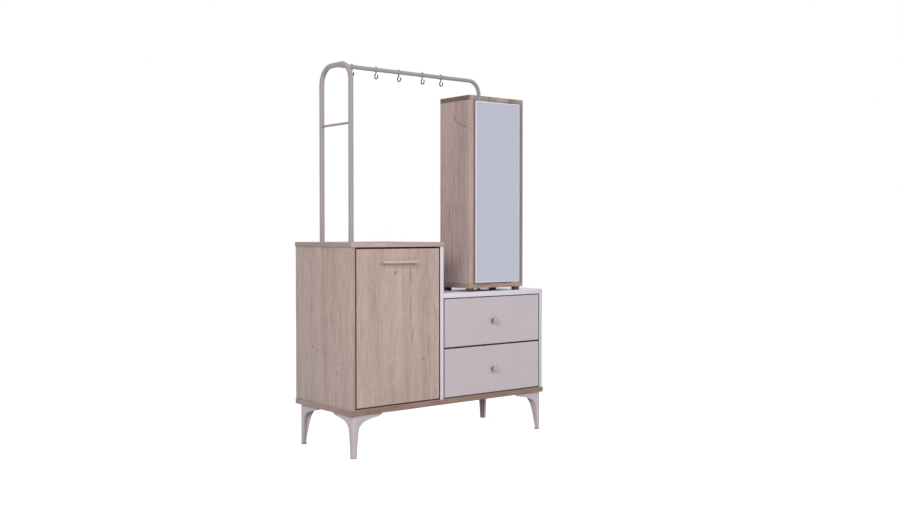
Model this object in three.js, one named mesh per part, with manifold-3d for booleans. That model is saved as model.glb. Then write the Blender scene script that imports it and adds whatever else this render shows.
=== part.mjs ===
import * as THREE from 'three';
import { mergeVertices } from 'three/addons/utils/BufferGeometryUtils.js';
import Module from 'manifold-3d';

// A hallway dresser: an oak cupboard with a tilting shoe flap, a white unit with two drawers,
// a narrow mirror tower on the drawer unit, and a bent tube frame that carries a coat rail.
// Lengths are in millimetres. X runs to the right, Y to the back, Z up. The floor is z = 0.

// Carcass
const UPRIGHT = 16;
const CUPBOARD_TOP_BOARD = 16;
const UNIT_TOP_BOARD = 18;
const BOTTOM_BOARD = 19;
const FRONT_BOARD = 18;
const BACK_BOARD = 3;
const REBATE = 6;
const CARCASS_WIDTH = 894;
const CARCASS_DEPTH = 363;
const OVERHANG = 3;
const LEG_HEIGHT = 147;
const CUPBOARD_WIDTH = 400;
const CUPBOARD_HEIGHT = 589;
const DRAWER_UNIT_HEIGHT = 403;

// Corner legs
const LEG_SIDE_INSET = 10;
const LEG_FRONT_INSET = 3;
const LEG_REAR_INSET = 19;
const LEG_REACH = 121;
const LEG_EDGE = 6.7;
const LEG_FOOT = 16;
const LEG_WALL = 4;
const LEG_RIM = 10;
const LEG_CORNER_RADIUS = 7;
const LEG_PLATE = 4;
const LEG_SCREW_RADIUS = 2.5;

// Shoe flap
const FLAP_SIDE_GAP = 3.5;
const FLAP_TOP_GAP = 4.5;
const FLAP_BOTTOM_GAP = 4;
const FLAP_PIVOT_RISE = 100;
const FLAP_PIVOT_SETBACK = 8;
const PIVOT_PIN_RADIUS = 4;
const PIVOT_FLANGE_RADIUS = 7;
const PIVOT_FLANGE = 2.4;
const CHEEK = 5;
const CHEEK_INSET = 3;
const CHEEK_RISE = 14;
const TRAY = 4;
const TRAY_REACH = 189;
const HANDLE_LENGTH = 150;
const HANDLE_CENTRES = 128;
const HANDLE_RADIUS = 4.5;
const HANDLE_EDGE = 1.2;
const HANDLE_REACH = 20;
const HANDLE_DROP = 48;

// Drawers
const DRAWER_FRONT_SIDE_GAP = 2.5;
const DRAWER_FRONT_TOP_GAP = 2;
const DRAWER_FRONT_GAP = 3.5;
const DRAWER_BOARD = 12;
const DRAWER_SIDE_HEIGHT = 110;
const DRAWER_SIDE_RISE = 24;
const DRAWER_REAR_GAP = 24;
const DRAWER_SIDE_GAP = 3;
const DRAWER_GROOVE = 7;
const DRAWER_BOTTOM_RISE = 12;
const BOTTOM_GROOVE = 5;
const RUNNER_HEIGHT = 14;
const RUNNER_RISE = 48;
const RUNNER_SETBACK = 8;
const RUNNER_REAR_SETBACK = 20;
const KNOB_RADIUS = 11;
const KNOB_REACH = 18;

// Mirror tower
const TOWER_LEFT = 528;
const TOWER_FRONT = 8;
const TOWER_WIDTH = 269;
const TOWER_DEPTH = 172;
const TOWER_HEIGHT = 716;
const TOWER_SIDE = 22;
const TOWER_BOARD = 18;
const TOWER_SHELF = 16;
const SHELF_SETBACK = 4;
const GLIDE_RADIUS = 15;
const GLIDE_HEIGHT = 13;
const GLIDE_INSET = 20;
const DOOR_GAP = 2;
const DOOR_END_GAP = 2;
const DOOR_PROUD = 9;
const DOOR_BOARD = 16;
const MIRROR = 4;
const DOOR_PIVOT_INSET = 22;
const DOOR_PIVOT_FRONT = 1;
const DOOR_PIN_RADIUS = 2.5;
const DOOR_PIN_LENGTH = 9;
const DOOR_PLATE = 1.5;
const DOOR_PLATE_MARGIN = 8;
const DOOR_PLATE_DEPTH = 25;
const DOOR_PLATE_RIM = 1;

// Coat frame
const FRAME_RADIUS = 9;
const FRAME_PLANE = 65;
const FRAME_CENTRE = 192;
const FRAME_SPREAD = 188;
const FRAME_BEND = 62;
const RUNG_HEIGHT = 1153;
const RUNG_RADIUS = 4.5;
const RAIL_RADIUS = 7.5;
const RAIL_HEIGHT = 1364;
const RAIL_BEND = 50;
const RAIL_DROP = 731;

// Hooks. Their heights are measured down from the rail's axis.
const HOOK_PLACES = [133, 238, 341, 451, 541];
const HOOK_COLLAR = 1.4;
const HOOK_COLLAR_LENGTH = 7;
const HOOK_NUB_RADIUS = 2.2;
const HOOK_NUB_HEIGHT = 2.5;
const HOOK_WIRE_RADIUS = 2;
const HOOK_RADIUS = 9.3;
const HOOK_CENTRE_FRONT = 1.5;
const HOOK_CENTRE_DROP = 24.5;
const HOOK_TIP_TURN = 0.35;

// Clearances between pieces that are cut to each other or turn in each other
const FIT = 0.3;

// Facets round a circle or along a bend
const SLIM_SIDES = 12;
const ROUND_SIDES = 16;
const FINE_SIDES = 24;
const WIRE_SIDES = 8;
const BEND_STEPS = 8;
const HOOK_STEPS = 6;

// Levels and planes that several pieces share
const TOP_Z = LEG_HEIGHT + CUPBOARD_HEIGHT;
const UNIT_TOP_Z = LEG_HEIGHT + DRAWER_UNIT_HEIGHT;
const FLOOR_BOARD_TOP = LEG_HEIGHT + BOTTOM_BOARD;
const CUPBOARD_CEILING = TOP_Z - CUPBOARD_TOP_BOARD;
const UNIT_CEILING = UNIT_TOP_Z - UNIT_TOP_BOARD;
const DIVIDER_LEFT = CUPBOARD_WIDTH - UPRIGHT;
const BAY_LEFT = CUPBOARD_WIDTH;
const BAY_RIGHT = CARCASS_WIDTH - UPRIGHT;
const BACK_FACE = CARCASS_DEPTH - BACK_BOARD;
const CENTRE_X = CARCASS_WIDTH / 2;
const CENTRE_Y = (CARCASS_DEPTH - Math.max(HANDLE_REACH, KNOB_REACH)) / 2;

const wasm = await Module();
wasm.setup();

// Materials in the colours of the pieces
const material = (color, roughness, metalness = 0) =>
  new THREE.MeshStandardMaterial({ color, roughness, metalness });
const oak = material('#b09a90', 0.62);
const white = material('#d6d0d8', 0.5);
const taupe = material('#c1b5ba', 0.45);
const paintedMetal = material('#b3aab2', 0.4, 0.1);
const legPlastic = material('#bbafb7', 0.5);
const innerPlastic = material('#c9c4c2', 0.6);
const backBoard = material('#cfc9c6', 0.75);
const mirrorGlass = material('#bbbdcc', 0.05, 0.9);
const hookMetal = material('#6b6769', 0.35, 0.7);
const glideRubber = material('#4a4547', 0.7);
const pivotSteel = material('#a9a7a8', 0.35, 0.8);

const group = new THREE.Group();

// Adds a named mesh, moved from carcass coordinates to the part's own origin.
function addPiece(name, geometry, itsMaterial) {
  geometry.translate(-CENTRE_X, -CENTRE_Y, 0);
  const mesh = new THREE.Mesh(geometry, itsMaterial);
  mesh.name = name;
  group.add(mesh);
}

// A block between two corners.
function block(x0, x1, y0, y1, z0, z1) {
  const geometry = new THREE.BoxGeometry(x1 - x0, y1 - y0, z1 - z0);
  return geometry.translate((x0 + x1) / 2, (y0 + y1) / 2, (z0 + z1) / 2);
}

// A closed geometry as a solid for cutting and joining.
function solid(geometry) {
  const bare = geometry.clone();
  bare.deleteAttribute('normal');
  bare.deleteAttribute('uv');
  const merged = mergeVertices(bare, 1e-4);
  return new wasm.Manifold(
    new wasm.Mesh({
      numProp: 3,
      vertProperties: new Float32Array(merged.attributes.position.array),
      triVerts: new Uint32Array(merged.index.array),
    }),
  );
}

// A solid as a geometry again.
function surface(made) {
  const mesh = made.getMesh();
  const geometry = new THREE.BufferGeometry();
  geometry.setAttribute('position', new THREE.BufferAttribute(new Float32Array(mesh.vertProperties), 3));
  geometry.setIndex(new THREE.BufferAttribute(new Uint32Array(mesh.triVerts), 1));
  return geometry;
}

function cut(geometry, ...cutters) {
  return surface(cutters.reduce((left, cutter) => left.subtract(solid(cutter)), solid(geometry)));
}

function join(...geometries) {
  return surface(geometries.map(solid).reduce((whole, next) => whole.add(next)));
}

// An outline drawn in the Y-Z plane, given as [y, z] points, extruded along X from x0 to x1.
function profileAlongX(points, x0, x1) {
  const shape = new THREE.Shape(points.map(([y, z]) => new THREE.Vector2(y, z)));
  const geometry = new THREE.ExtrudeGeometry(shape, { depth: x1 - x0, bevelEnabled: false });
  // The outline's own x and y become Y and Z, and its depth becomes X.
  geometry.applyMatrix4(new THREE.Matrix4().makeBasis(
    new THREE.Vector3(0, 1, 0),
    new THREE.Vector3(0, 0, 1),
    new THREE.Vector3(1, 0, 0),
  ));
  return geometry.translate(x0, 0, 0);
}

// An outline drawn in the X-Z plane, given as [x, z] points, extruded along Y from y0 to y1.
function profileAlongY(points, y0, y1) {
  const shape = new THREE.Shape(points.map(([x, z]) => new THREE.Vector2(x, z)));
  const geometry = new THREE.ExtrudeGeometry(shape, { depth: y1 - y0, bevelEnabled: false });
  return geometry.rotateX(Math.PI / 2).translate(0, y1, 0);
}

// An outline drawn in the X-Y plane, given as [x, y] points, extruded upwards from z0 to z1.
function profileUp(points, z0, z1) {
  const shape = new THREE.Shape(points.map(([x, y]) => new THREE.Vector2(x, y)));
  const geometry = new THREE.ExtrudeGeometry(shape, { depth: z1 - z0, bevelEnabled: false });
  return geometry.translate(0, 0, z0);
}

// Round bars along the three axes, from one end to the other.
function barAlongX(radius, x0, x1, y, z, sides = ROUND_SIDES) {
  return new THREE.CylinderGeometry(radius, radius, x1 - x0, sides)
    .rotateZ(Math.PI / 2)
    .translate((x0 + x1) / 2, y, z);
}

function barAlongY(radius, y0, y1, x, z, sides = ROUND_SIDES) {
  return new THREE.CylinderGeometry(radius, radius, y1 - y0, sides).translate(x, (y0 + y1) / 2, z);
}

function barAlongZ(radius, z0, z1, x, y, sides = ROUND_SIDES) {
  return new THREE.CylinderGeometry(radius, radius, z1 - z0, sides)
    .rotateX(Math.PI / 2)
    .translate(x, y, (z0 + z1) / 2);
}

// A path with given stations, so that straight runs are one step long and bends get the steps.
class StationPath extends THREE.Curve {
  constructor(stations) {
    super();
    this.stations = stations;
  }

  stationAt(share) {
    return this.stations[Math.round(share * (this.stations.length - 1))];
  }

  getPointAt(share) {
    return this.stationAt(share).point.clone();
  }

  getTangentAt(share) {
    return this.stationAt(share).tangent.clone();
  }
}

// Stations on a quarter or other arc about a centre, swept from one direction to another.
function arcStations(centre, radius, from, to, steps) {
  const stations = [];
  for (let step = 0; step <= steps; step += 1) {
    const angle = (step / steps) * from.angleTo(to);
    const axis = new THREE.Vector3().crossVectors(from, to).normalize();
    const spoke = from.clone().applyAxisAngle(axis, angle);
    stations.push({
      point: centre.clone().addScaledVector(spoke, radius),
      tangent: new THREE.Vector3().crossVectors(axis, spoke),
    });
  }
  return stations;
}

// A round tube or wire swept along stations.
function sweep(radius, stations, sides) {
  const section = new THREE.Shape();
  for (let side = 0; side < sides; side += 1) {
    const angle = ((side + 0.5) / sides) * 2 * Math.PI;
    const point = [radius * Math.cos(angle), radius * Math.sin(angle)];
    if (side === 0) {
      section.moveTo(...point);
    } else {
      section.lineTo(...point);
    }
  }
  section.closePath();
  return new THREE.ExtrudeGeometry(section, {
    steps: stations.length - 1,
    extrudePath: new StationPath(stations),
  });
}

const straightEnd = (x, y, z, tangent) => ({ point: new THREE.Vector3(x, y, z), tangent });

// Carcass boards. Rebates along the rear inner edges take the thin backs.
const cupboardBack = {
  x0: UPRIGHT - REBATE,
  x1: DIVIDER_LEFT + REBATE,
  z0: FLOOR_BOARD_TOP - REBATE,
  z1: CUPBOARD_CEILING + REBATE,
};
const unitBack = {
  x0: BAY_LEFT - REBATE,
  x1: BAY_RIGHT + REBATE,
  z0: FLOOR_BOARD_TOP - REBATE,
  z1: UNIT_CEILING + REBATE,
};
const backOf = ({ x0, x1, z0, z1 }) => block(x0, x1, BACK_FACE, CARCASS_DEPTH, z0, z1);
const rebateFor = ({ x0, x1, z0, z1 }) => block(x0, x1, BACK_FACE, CARCASS_DEPTH + REBATE, z0, z1);

addPiece(
  'bottom_panel',
  cut(
    block(-OVERHANG, CARCASS_WIDTH + OVERHANG, -OVERHANG, CARCASS_DEPTH, LEG_HEIGHT, FLOOR_BOARD_TOP),
    rebateFor(cupboardBack),
    rebateFor(unitBack),
  ),
  oak,
);
addPiece(
  'left_side_panel',
  cut(block(0, UPRIGHT, 0, CARCASS_DEPTH, FLOOR_BOARD_TOP, CUPBOARD_CEILING), rebateFor(cupboardBack)),
  oak,
);
addPiece(
  'divider_panel',
  cut(
    block(DIVIDER_LEFT, CUPBOARD_WIDTH, 0, CARCASS_DEPTH, FLOOR_BOARD_TOP, CUPBOARD_CEILING),
    rebateFor(cupboardBack),
    rebateFor(unitBack),
  ),
  white,
);
addPiece(
  'cabinet_top',
  cut(
    block(-OVERHANG, CUPBOARD_WIDTH, -OVERHANG, CARCASS_DEPTH, CUPBOARD_CEILING, TOP_Z),
    rebateFor(cupboardBack),
  ),
  oak,
);
addPiece(
  'right_side_panel',
  cut(block(BAY_RIGHT, CARCASS_WIDTH, 0, CARCASS_DEPTH, FLOOR_BOARD_TOP, UNIT_TOP_Z), rebateFor(unitBack)),
  white,
);
addPiece(
  'drawer_unit_top',
  cut(block(BAY_LEFT, BAY_RIGHT, 0, CARCASS_DEPTH, UNIT_CEILING, UNIT_TOP_Z), rebateFor(unitBack)),
  white,
);
addPiece('cabinet_back_panel', backOf(cupboardBack), backBoard);
addPiece('drawer_unit_back_panel', backOf(unitBack), backBoard);

// Corner legs. Two thin wings flare out under the board from a slim foot. A rim stiffens each
// wing's free edge, a web stands between them, and a plate with screw holes closes the top.

// The wing's free edge, from its tip under the board down to the foot, as [reach, z] points.
function wingEdge(moved) {
  const drops = [
    [LEG_REACH, LEG_EDGE],
    [LEG_REACH * 0.85, LEG_EDGE * 1.75],
    [LEG_REACH * 0.68, LEG_EDGE * 2.2],
    [LEG_REACH * 0.5, LEG_EDGE * 2.95],
    [LEG_REACH * 0.38, LEG_EDGE * 3.75],
    [LEG_REACH * 0.3, LEG_EDGE * 4.7],
    [LEG_REACH * 0.24, LEG_EDGE * 6],
    [LEG_FOOT * 1.5, LEG_HEIGHT * 0.35],
    [LEG_FOOT * 1.3, LEG_HEIGHT * 0.58],
    [LEG_FOOT * 1.12, LEG_HEIGHT * 0.81],
    [LEG_FOOT, LEG_HEIGHT],
  ];
  const curve = new THREE.SplineCurve(drops.map(([u, drop]) => new THREE.Vector2(u, LEG_HEIGHT - drop)));
  return curve.getSpacedPoints(20).map((point) => [point.x - moved, point.y + moved / 2]);
}

// The web's free edge, measured along its diagonal from the corner.
function webEdge() {
  const reaches = [
    [LEG_FOOT * 0.7, 0],
    [LEG_FOOT * 1.25, LEG_HEIGHT * 0.44],
    [LEG_FOOT * 1.65, LEG_HEIGHT * 0.68],
    [LEG_FOOT * 2, LEG_HEIGHT * 0.8],
    [LEG_REACH * 0.37, LEG_HEIGHT * 0.92],
    [LEG_REACH / 2, LEG_HEIGHT],
  ];
  const curve = new THREE.SplineCurve(reaches.map(([u, z]) => new THREE.Vector2(u * Math.SQRT2, z)));
  return curve.getSpacedPoints(BEND_STEPS).map((point) => [point.x, point.y]);
}

function legGeometry() {
  const outline = [[0, 0], [0, LEG_HEIGHT], [LEG_REACH, LEG_HEIGHT], ...wingEdge(0)];
  const wings = [profileAlongY(outline, 0, LEG_WALL), profileAlongX(outline, 0, LEG_WALL)];
  // A rim is the outline less a copy of itself moved towards the corner.
  const within = [
    [-LEG_RIM, -LEG_WALL],
    [-LEG_RIM, LEG_HEIGHT + LEG_WALL],
    ...wingEdge(LEG_WALL),
    [LEG_FOOT - LEG_WALL, -LEG_WALL],
  ];
  const rims = [
    cut(profileAlongY(outline, 0, LEG_RIM), profileAlongY(within, LEG_WALL, LEG_RIM + LEG_WALL)),
    cut(profileAlongX(outline, 0, LEG_RIM), profileAlongX(within, LEG_WALL, LEG_RIM + LEG_WALL)),
  ];
  const plateOutline = [
    [0, 0],
    [LEG_REACH, 0],
    [LEG_REACH, LEG_RIM],
    [LEG_REACH / 2, LEG_REACH / 2],
    [LEG_RIM, LEG_REACH],
    [0, LEG_REACH],
  ];
  const plate = profileUp(plateOutline, LEG_HEIGHT - LEG_PLATE, LEG_HEIGHT);
  const foot = block(0, LEG_FOOT, 0, LEG_FOOT, 0, LEG_WALL * 2);
  const web = profileAlongX([[0, LEG_HEIGHT], [0, 0], ...webEdge()], -LEG_WALL / 2, LEG_WALL / 2);
  web.rotateZ(-Math.PI / 4).translate(LEG_WALL / 2, LEG_WALL / 2, 0);
  // The outer corner is rounded over the leg's full height.
  const corner = new THREE.Shape();
  corner.moveTo(LEG_CORNER_RADIUS, 0);
  corner.lineTo(LEG_REACH, 0);
  corner.lineTo(LEG_REACH, LEG_REACH);
  corner.lineTo(0, LEG_REACH);
  corner.lineTo(0, LEG_CORNER_RADIUS);
  corner.absarc(LEG_CORNER_RADIUS, LEG_CORNER_RADIUS, LEG_CORNER_RADIUS, Math.PI, Math.PI * 1.5);
  const envelope = new THREE.ExtrudeGeometry(corner, {
    depth: LEG_HEIGHT,
    bevelEnabled: false,
    curveSegments: 5,
  });
  const body = solid(join(...wings, ...rims, plate, foot, web)).intersect(solid(envelope));
  const screwPlaces = [
    [LEG_REACH * 0.72, LEG_REACH * 0.18],
    [LEG_REACH * 0.18, LEG_REACH * 0.72],
    [LEG_REACH * 0.46, LEG_REACH * 0.3],
  ];
  const screwHoles = screwPlaces.map(([x, y]) =>
    barAlongZ(LEG_SCREW_RADIUS, LEG_HEIGHT / 2, LEG_HEIGHT + LEG_PLATE, x, y, WIRE_SIDES),
  );
  return cut(surface(body), ...screwHoles);
}

const legLeft = -OVERHANG + LEG_SIDE_INSET;
const legRight = CARCASS_WIDTH + OVERHANG - LEG_SIDE_INSET;
const legPlaces = [
  ['leg_front_left', legLeft, LEG_FRONT_INSET, 0],
  ['leg_front_right', legRight, LEG_FRONT_INSET, Math.PI / 2],
  ['leg_rear_right', legRight, CARCASS_DEPTH - LEG_REAR_INSET, Math.PI],
  ['leg_rear_left', legLeft, CARCASS_DEPTH - LEG_REAR_INSET, -Math.PI / 2],
];
legPlaces.forEach(([name, x, y, turn]) => {
  addPiece(name, legGeometry().rotateZ(turn).translate(x, y, 0), legPlastic);
});

// Shoe flap: the oak leaf tilts out about two pins, and two cheeks carry two folded shoe trays.
const leafLeft = UPRIGHT + FLAP_SIDE_GAP;
const leafRight = DIVIDER_LEFT - FLAP_SIDE_GAP;
const leafBottom = FLOOR_BOARD_TOP + FLAP_BOTTOM_GAP;
const leafTop = CUPBOARD_CEILING - FLAP_TOP_GAP;
const leafHeight = leafTop - leafBottom;
const pivotY = FRONT_BOARD + FLAP_PIVOT_SETBACK;
const pivotZ = leafBottom + FLAP_PIVOT_RISE;

addPiece('flap_leaf', block(leafLeft, leafRight, 0, FRONT_BOARD, leafBottom, leafTop), oak);

// The cheeks' and trays' outlines are given as shares of the trays' reach behind the leaf and of
// the leaf's height.
const behindLeaf = (depthShare, heightShare) => [
  FRONT_BOARD + TRAY_REACH * depthShare,
  leafBottom + leafHeight * heightShare,
];
const cheekOutline = [
  [FRONT_BOARD, leafBottom + CHEEK_RISE],
  behindLeaf(0.84, 0.13),
  behindLeaf(1, 0.3),
  behindLeaf(1, 0.58),
  behindLeaf(0.66, 0.82),
  behindLeaf(0.3, 0.88),
  behindLeaf(0, 0.88),
];
const cheekHole = (x) => barAlongX(PIVOT_PIN_RADIUS + FIT, x - FIT, x + CHEEK + FIT, pivotY, pivotZ);
const leftCheek = leafLeft + CHEEK_INSET;
const rightCheek = leafRight - CHEEK_INSET - CHEEK;
[['left_cheek', leftCheek], ['right_cheek', rightCheek]].forEach(([name, x]) => {
  addPiece(name, cut(profileAlongX(cheekOutline, x, x + CHEEK), cheekHole(x)), innerPlastic);
});

// A tray is a bent strip: a sloping bed that starts at the leaf, and a back that holds the heels.
function trayOutline(start, fold, end) {
  const bed = new THREE.Vector2(fold[0] - start[0], fold[1] - start[1]).normalize();
  const back = new THREE.Vector2(end[0] - fold[0], end[1] - fold[1]).normalize();
  const bisector = new THREE.Vector2(-bed.y - back.y, bed.x + back.x).normalize();
  const reach = TRAY / (bisector.x * -bed.y + bisector.y * bed.x);
  return [
    start,
    fold,
    end,
    [end[0] - back.y * TRAY, end[1] + back.x * TRAY],
    [fold[0] + bisector.x * reach, fold[1] + bisector.y * reach],
    [start[0], start[1] + TRAY / bed.x],
  ];
}

const trays = [
  ['lower_shoe_tray', behindLeaf(0, 0.06), behindLeaf(0.8, 0.14), behindLeaf(0.96, 0.54)],
  ['upper_shoe_tray', behindLeaf(0, 0.46), behindLeaf(0.5, 0.53), behindLeaf(0.6, 0.8)],
];
trays.forEach(([name, start, fold, end]) => {
  addPiece(name, profileAlongX(trayOutline(start, fold, end), leftCheek + CHEEK, rightCheek), innerPlastic);
});

// Pivot pins stand on round flanges on the side panel and the divider.
function flapPivot(face, inward) {
  const reach = (length) => [face, face + inward * length].sort((a, b) => a - b);
  const [flangeStart, flangeEnd] = reach(PIVOT_FLANGE);
  const [pinStart, pinEnd] = reach(FLAP_SIDE_GAP + CHEEK_INSET + CHEEK);
  return join(
    barAlongX(PIVOT_FLANGE_RADIUS, flangeStart, flangeEnd, pivotY, pivotZ),
    barAlongX(PIVOT_PIN_RADIUS, pinStart, pinEnd, pivotY, pivotZ),
  );
}
addPiece('left_flap_pivot', flapPivot(UPRIGHT, 1), pivotSteel);
addPiece('right_flap_pivot', flapPivot(DIVIDER_LEFT, -1), pivotSteel);

// Bar handle with domed ends on two posts.
const handleX = (leafLeft + leafRight) / 2;
const handleZ = leafTop - HANDLE_DROP;
const handleY = -HANDLE_REACH + HANDLE_RADIUS;
const barProfile = [
  new THREE.Vector2(0, -HANDLE_LENGTH / 2),
  new THREE.Vector2(HANDLE_RADIUS * 0.75, -HANDLE_LENGTH / 2),
  new THREE.Vector2(HANDLE_RADIUS, -HANDLE_LENGTH / 2 + HANDLE_EDGE),
  new THREE.Vector2(HANDLE_RADIUS, HANDLE_LENGTH / 2 - HANDLE_EDGE),
  new THREE.Vector2(HANDLE_RADIUS * 0.75, HANDLE_LENGTH / 2),
  new THREE.Vector2(0, HANDLE_LENGTH / 2),
];
const handleBar = new THREE.LatheGeometry(barProfile, ROUND_SIDES)
  .rotateZ(-Math.PI / 2)
  .translate(handleX, handleY, handleZ);
const post = (side) =>
  barAlongY(HANDLE_RADIUS * 0.8, handleY, 0, handleX + (side * HANDLE_CENTRES) / 2, handleZ, SLIM_SIDES);
addPiece('flap_handle', join(handleBar, post(-1), post(1)), taupe);

// Drawers: grooved sides ride on strips that are screwed to the divider and the right side panel.
const frontsHeight = UNIT_CEILING - DRAWER_FRONT_TOP_GAP - FLOOR_BOARD_TOP - 2 * DRAWER_FRONT_GAP;
const frontHeight = frontsHeight / 2;
const frontLeft = BAY_LEFT + DRAWER_FRONT_SIDE_GAP;
const frontRight = BAY_RIGHT - DRAWER_FRONT_SIDE_GAP;
const knobX = (BAY_LEFT + BAY_RIGHT) / 2;
const runnerDepth = DRAWER_SIDE_GAP + DRAWER_GROOVE - FIT;

// The drawer side's section from its outer face at x = 0, with the runner groove outside and
// the groove for the bottom inside.
function drawerSideSection(z0) {
  const grooveTop = z0 + RUNNER_RISE + RUNNER_HEIGHT + FIT;
  const grooveBottom = z0 + RUNNER_RISE - FIT * 2;
  const bottomZ = z0 + DRAWER_BOTTOM_RISE;
  return [
    [0, z0],
    [DRAWER_BOARD, z0],
    [DRAWER_BOARD, bottomZ],
    [DRAWER_BOARD - BOTTOM_GROOVE, bottomZ],
    [DRAWER_BOARD - BOTTOM_GROOVE, bottomZ + BACK_BOARD],
    [DRAWER_BOARD, bottomZ + BACK_BOARD],
    [DRAWER_BOARD, z0 + DRAWER_SIDE_HEIGHT],
    [0, z0 + DRAWER_SIDE_HEIGHT],
    [0, grooveTop],
    [DRAWER_GROOVE, grooveTop],
    [DRAWER_GROOVE, grooveBottom],
    [0, grooveBottom],
  ];
}

const mirrored = (points) => points.map(([x, z]) => [-x, z]).reverse();
const placed = (points, x) => points.map(([u, z]) => [u + x, z]);

function knobGeometry(x, z) {
  const profile = [
    [0, 0],
    [KNOB_RADIUS * 0.62, 0],
    [KNOB_RADIUS * 0.62, KNOB_REACH * 0.1],
    [KNOB_RADIUS * 0.42, KNOB_REACH * 0.25],
    [KNOB_RADIUS * 0.42, KNOB_REACH * 0.45],
    [KNOB_RADIUS * 0.86, KNOB_REACH * 0.62],
    [KNOB_RADIUS, KNOB_REACH * 0.75],
    [KNOB_RADIUS * 0.97, KNOB_REACH * 0.88],
    [KNOB_RADIUS * 0.8, KNOB_REACH * 0.97],
    [0, KNOB_REACH],
  ].map(([radius, height]) => new THREE.Vector2(radius, height));
  return new THREE.LatheGeometry(profile, FINE_SIDES).rotateX(Math.PI).translate(x, 0, z);
}

function addDrawer(level, frontBottom) {
  const boxBottom = frontBottom + DRAWER_SIDE_RISE;
  const boxTop = boxBottom + DRAWER_SIDE_HEIGHT;
  const rear = BACK_FACE - DRAWER_REAR_GAP;
  const outerLeft = BAY_LEFT + DRAWER_SIDE_GAP;
  const outerRight = BAY_RIGHT - DRAWER_SIDE_GAP;
  const innerLeft = outerLeft + DRAWER_BOARD;
  const innerRight = outerRight - DRAWER_BOARD;
  const bottomZ = boxBottom + DRAWER_BOTTOM_RISE;
  const bottomTop = bottomZ + BACK_BOARD;
  const bottomLeft = innerLeft - BOTTOM_GROOVE;
  const bottomRight = innerRight + BOTTOM_GROOVE;
  const bottomFront = FRONT_BOARD - BOTTOM_GROOVE;

  const front = block(frontLeft, frontRight, 0, FRONT_BOARD, frontBottom, frontBottom + frontHeight);
  const frontGroove = block(bottomLeft, bottomRight, bottomFront, rear, bottomZ, bottomTop);
  addPiece(`${level}_drawer_front`, cut(front, frontGroove), taupe);
  const leftSection = placed(drawerSideSection(boxBottom), outerLeft);
  const rightSection = placed(mirrored(drawerSideSection(boxBottom)), outerRight);
  addPiece(`${level}_drawer_left`, profileAlongY(leftSection, FRONT_BOARD, rear), white);
  addPiece(`${level}_drawer_right`, profileAlongY(rightSection, FRONT_BOARD, rear), white);
  const rearBoard = block(innerLeft, innerRight, rear - DRAWER_BOARD, rear, bottomTop, boxTop);
  addPiece(`${level}_drawer_rear`, rearBoard, white);
  const bottom = block(bottomLeft, bottomRight, bottomFront, rear, bottomZ, bottomTop);
  addPiece(`${level}_drawer_bottom`, bottom, backBoard);
  const knobZ = frontBottom + frontHeight / 2;
  addPiece(`${level}_drawer_knob`, knobGeometry(knobX, knobZ), taupe);

  const runnerFront = FRONT_BOARD + RUNNER_SETBACK;
  const runnerZ = boxBottom + RUNNER_RISE;
  const runnerRear = rear - RUNNER_REAR_SETBACK;
  const runner = (x0, x1) =>
    block(x0, x1, runnerFront, runnerRear, runnerZ, runnerZ + RUNNER_HEIGHT);
  addPiece(`${level}_left_runner`, runner(BAY_LEFT, BAY_LEFT + runnerDepth), innerPlastic);
  addPiece(`${level}_right_runner`, runner(BAY_RIGHT - runnerDepth, BAY_RIGHT), innerPlastic);
}

addDrawer('lower', FLOOR_BOARD_TOP + DRAWER_FRONT_GAP);
addDrawer('upper', FLOOR_BOARD_TOP + 2 * DRAWER_FRONT_GAP + frontHeight);

// Mirror tower: a narrow cupboard on four round glides.
const towerRight = TOWER_LEFT + TOWER_WIDTH;
const towerBack = TOWER_FRONT + TOWER_DEPTH;
const towerBottom = UNIT_TOP_Z + GLIDE_HEIGHT;
const towerTop = towerBottom + TOWER_HEIGHT;
const towerInnerLeft = TOWER_LEFT + TOWER_SIDE;
const towerInnerRight = towerRight - TOWER_SIDE;
const towerInnerBottom = towerBottom + TOWER_BOARD;
const towerInnerTop = towerTop - TOWER_BOARD;
const towerBackFace = towerBack - BACK_BOARD;
const towerBackTo = (y) =>
  block(
    towerInnerLeft - REBATE,
    towerInnerRight + REBATE,
    towerBackFace,
    y,
    towerInnerBottom - REBATE,
    towerInnerTop + REBATE,
  );
const towerRebate = towerBackTo(towerBack + REBATE);
const towerBoard = (x0, x1, z0, z1) => cut(block(x0, x1, TOWER_FRONT, towerBack, z0, z1), towerRebate);

addPiece('tower_left_side', towerBoard(TOWER_LEFT, towerInnerLeft, towerInnerBottom, towerInnerTop), oak);
addPiece('tower_right_side', towerBoard(towerInnerRight, towerRight, towerInnerBottom, towerInnerTop), oak);
addPiece('tower_bottom', towerBoard(TOWER_LEFT, towerRight, towerBottom, towerInnerBottom), oak);
addPiece('tower_top', towerBoard(TOWER_LEFT, towerRight, towerInnerTop, towerTop), oak);
addPiece('tower_back', towerBackTo(towerBack), backBoard);

// The door lies between the tower's boards, a little proud of them, and turns on two pins.
const doorLeft = towerInnerLeft + DOOR_GAP;
const doorRight = towerInnerRight - DOOR_GAP;
const doorBottom = towerInnerBottom + DOOR_END_GAP;
const doorTop = towerInnerTop - DOOR_END_GAP;
const doorAxisX = doorRight - DOOR_PIVOT_INSET;
const doorAxisY = TOWER_FRONT - DOOR_PIVOT_FRONT;
const doorFront = TOWER_FRONT - DOOR_PROUD;
const doorBoardFront = doorFront + MIRROR;
const doorBack = doorBoardFront + DOOR_BOARD;

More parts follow.
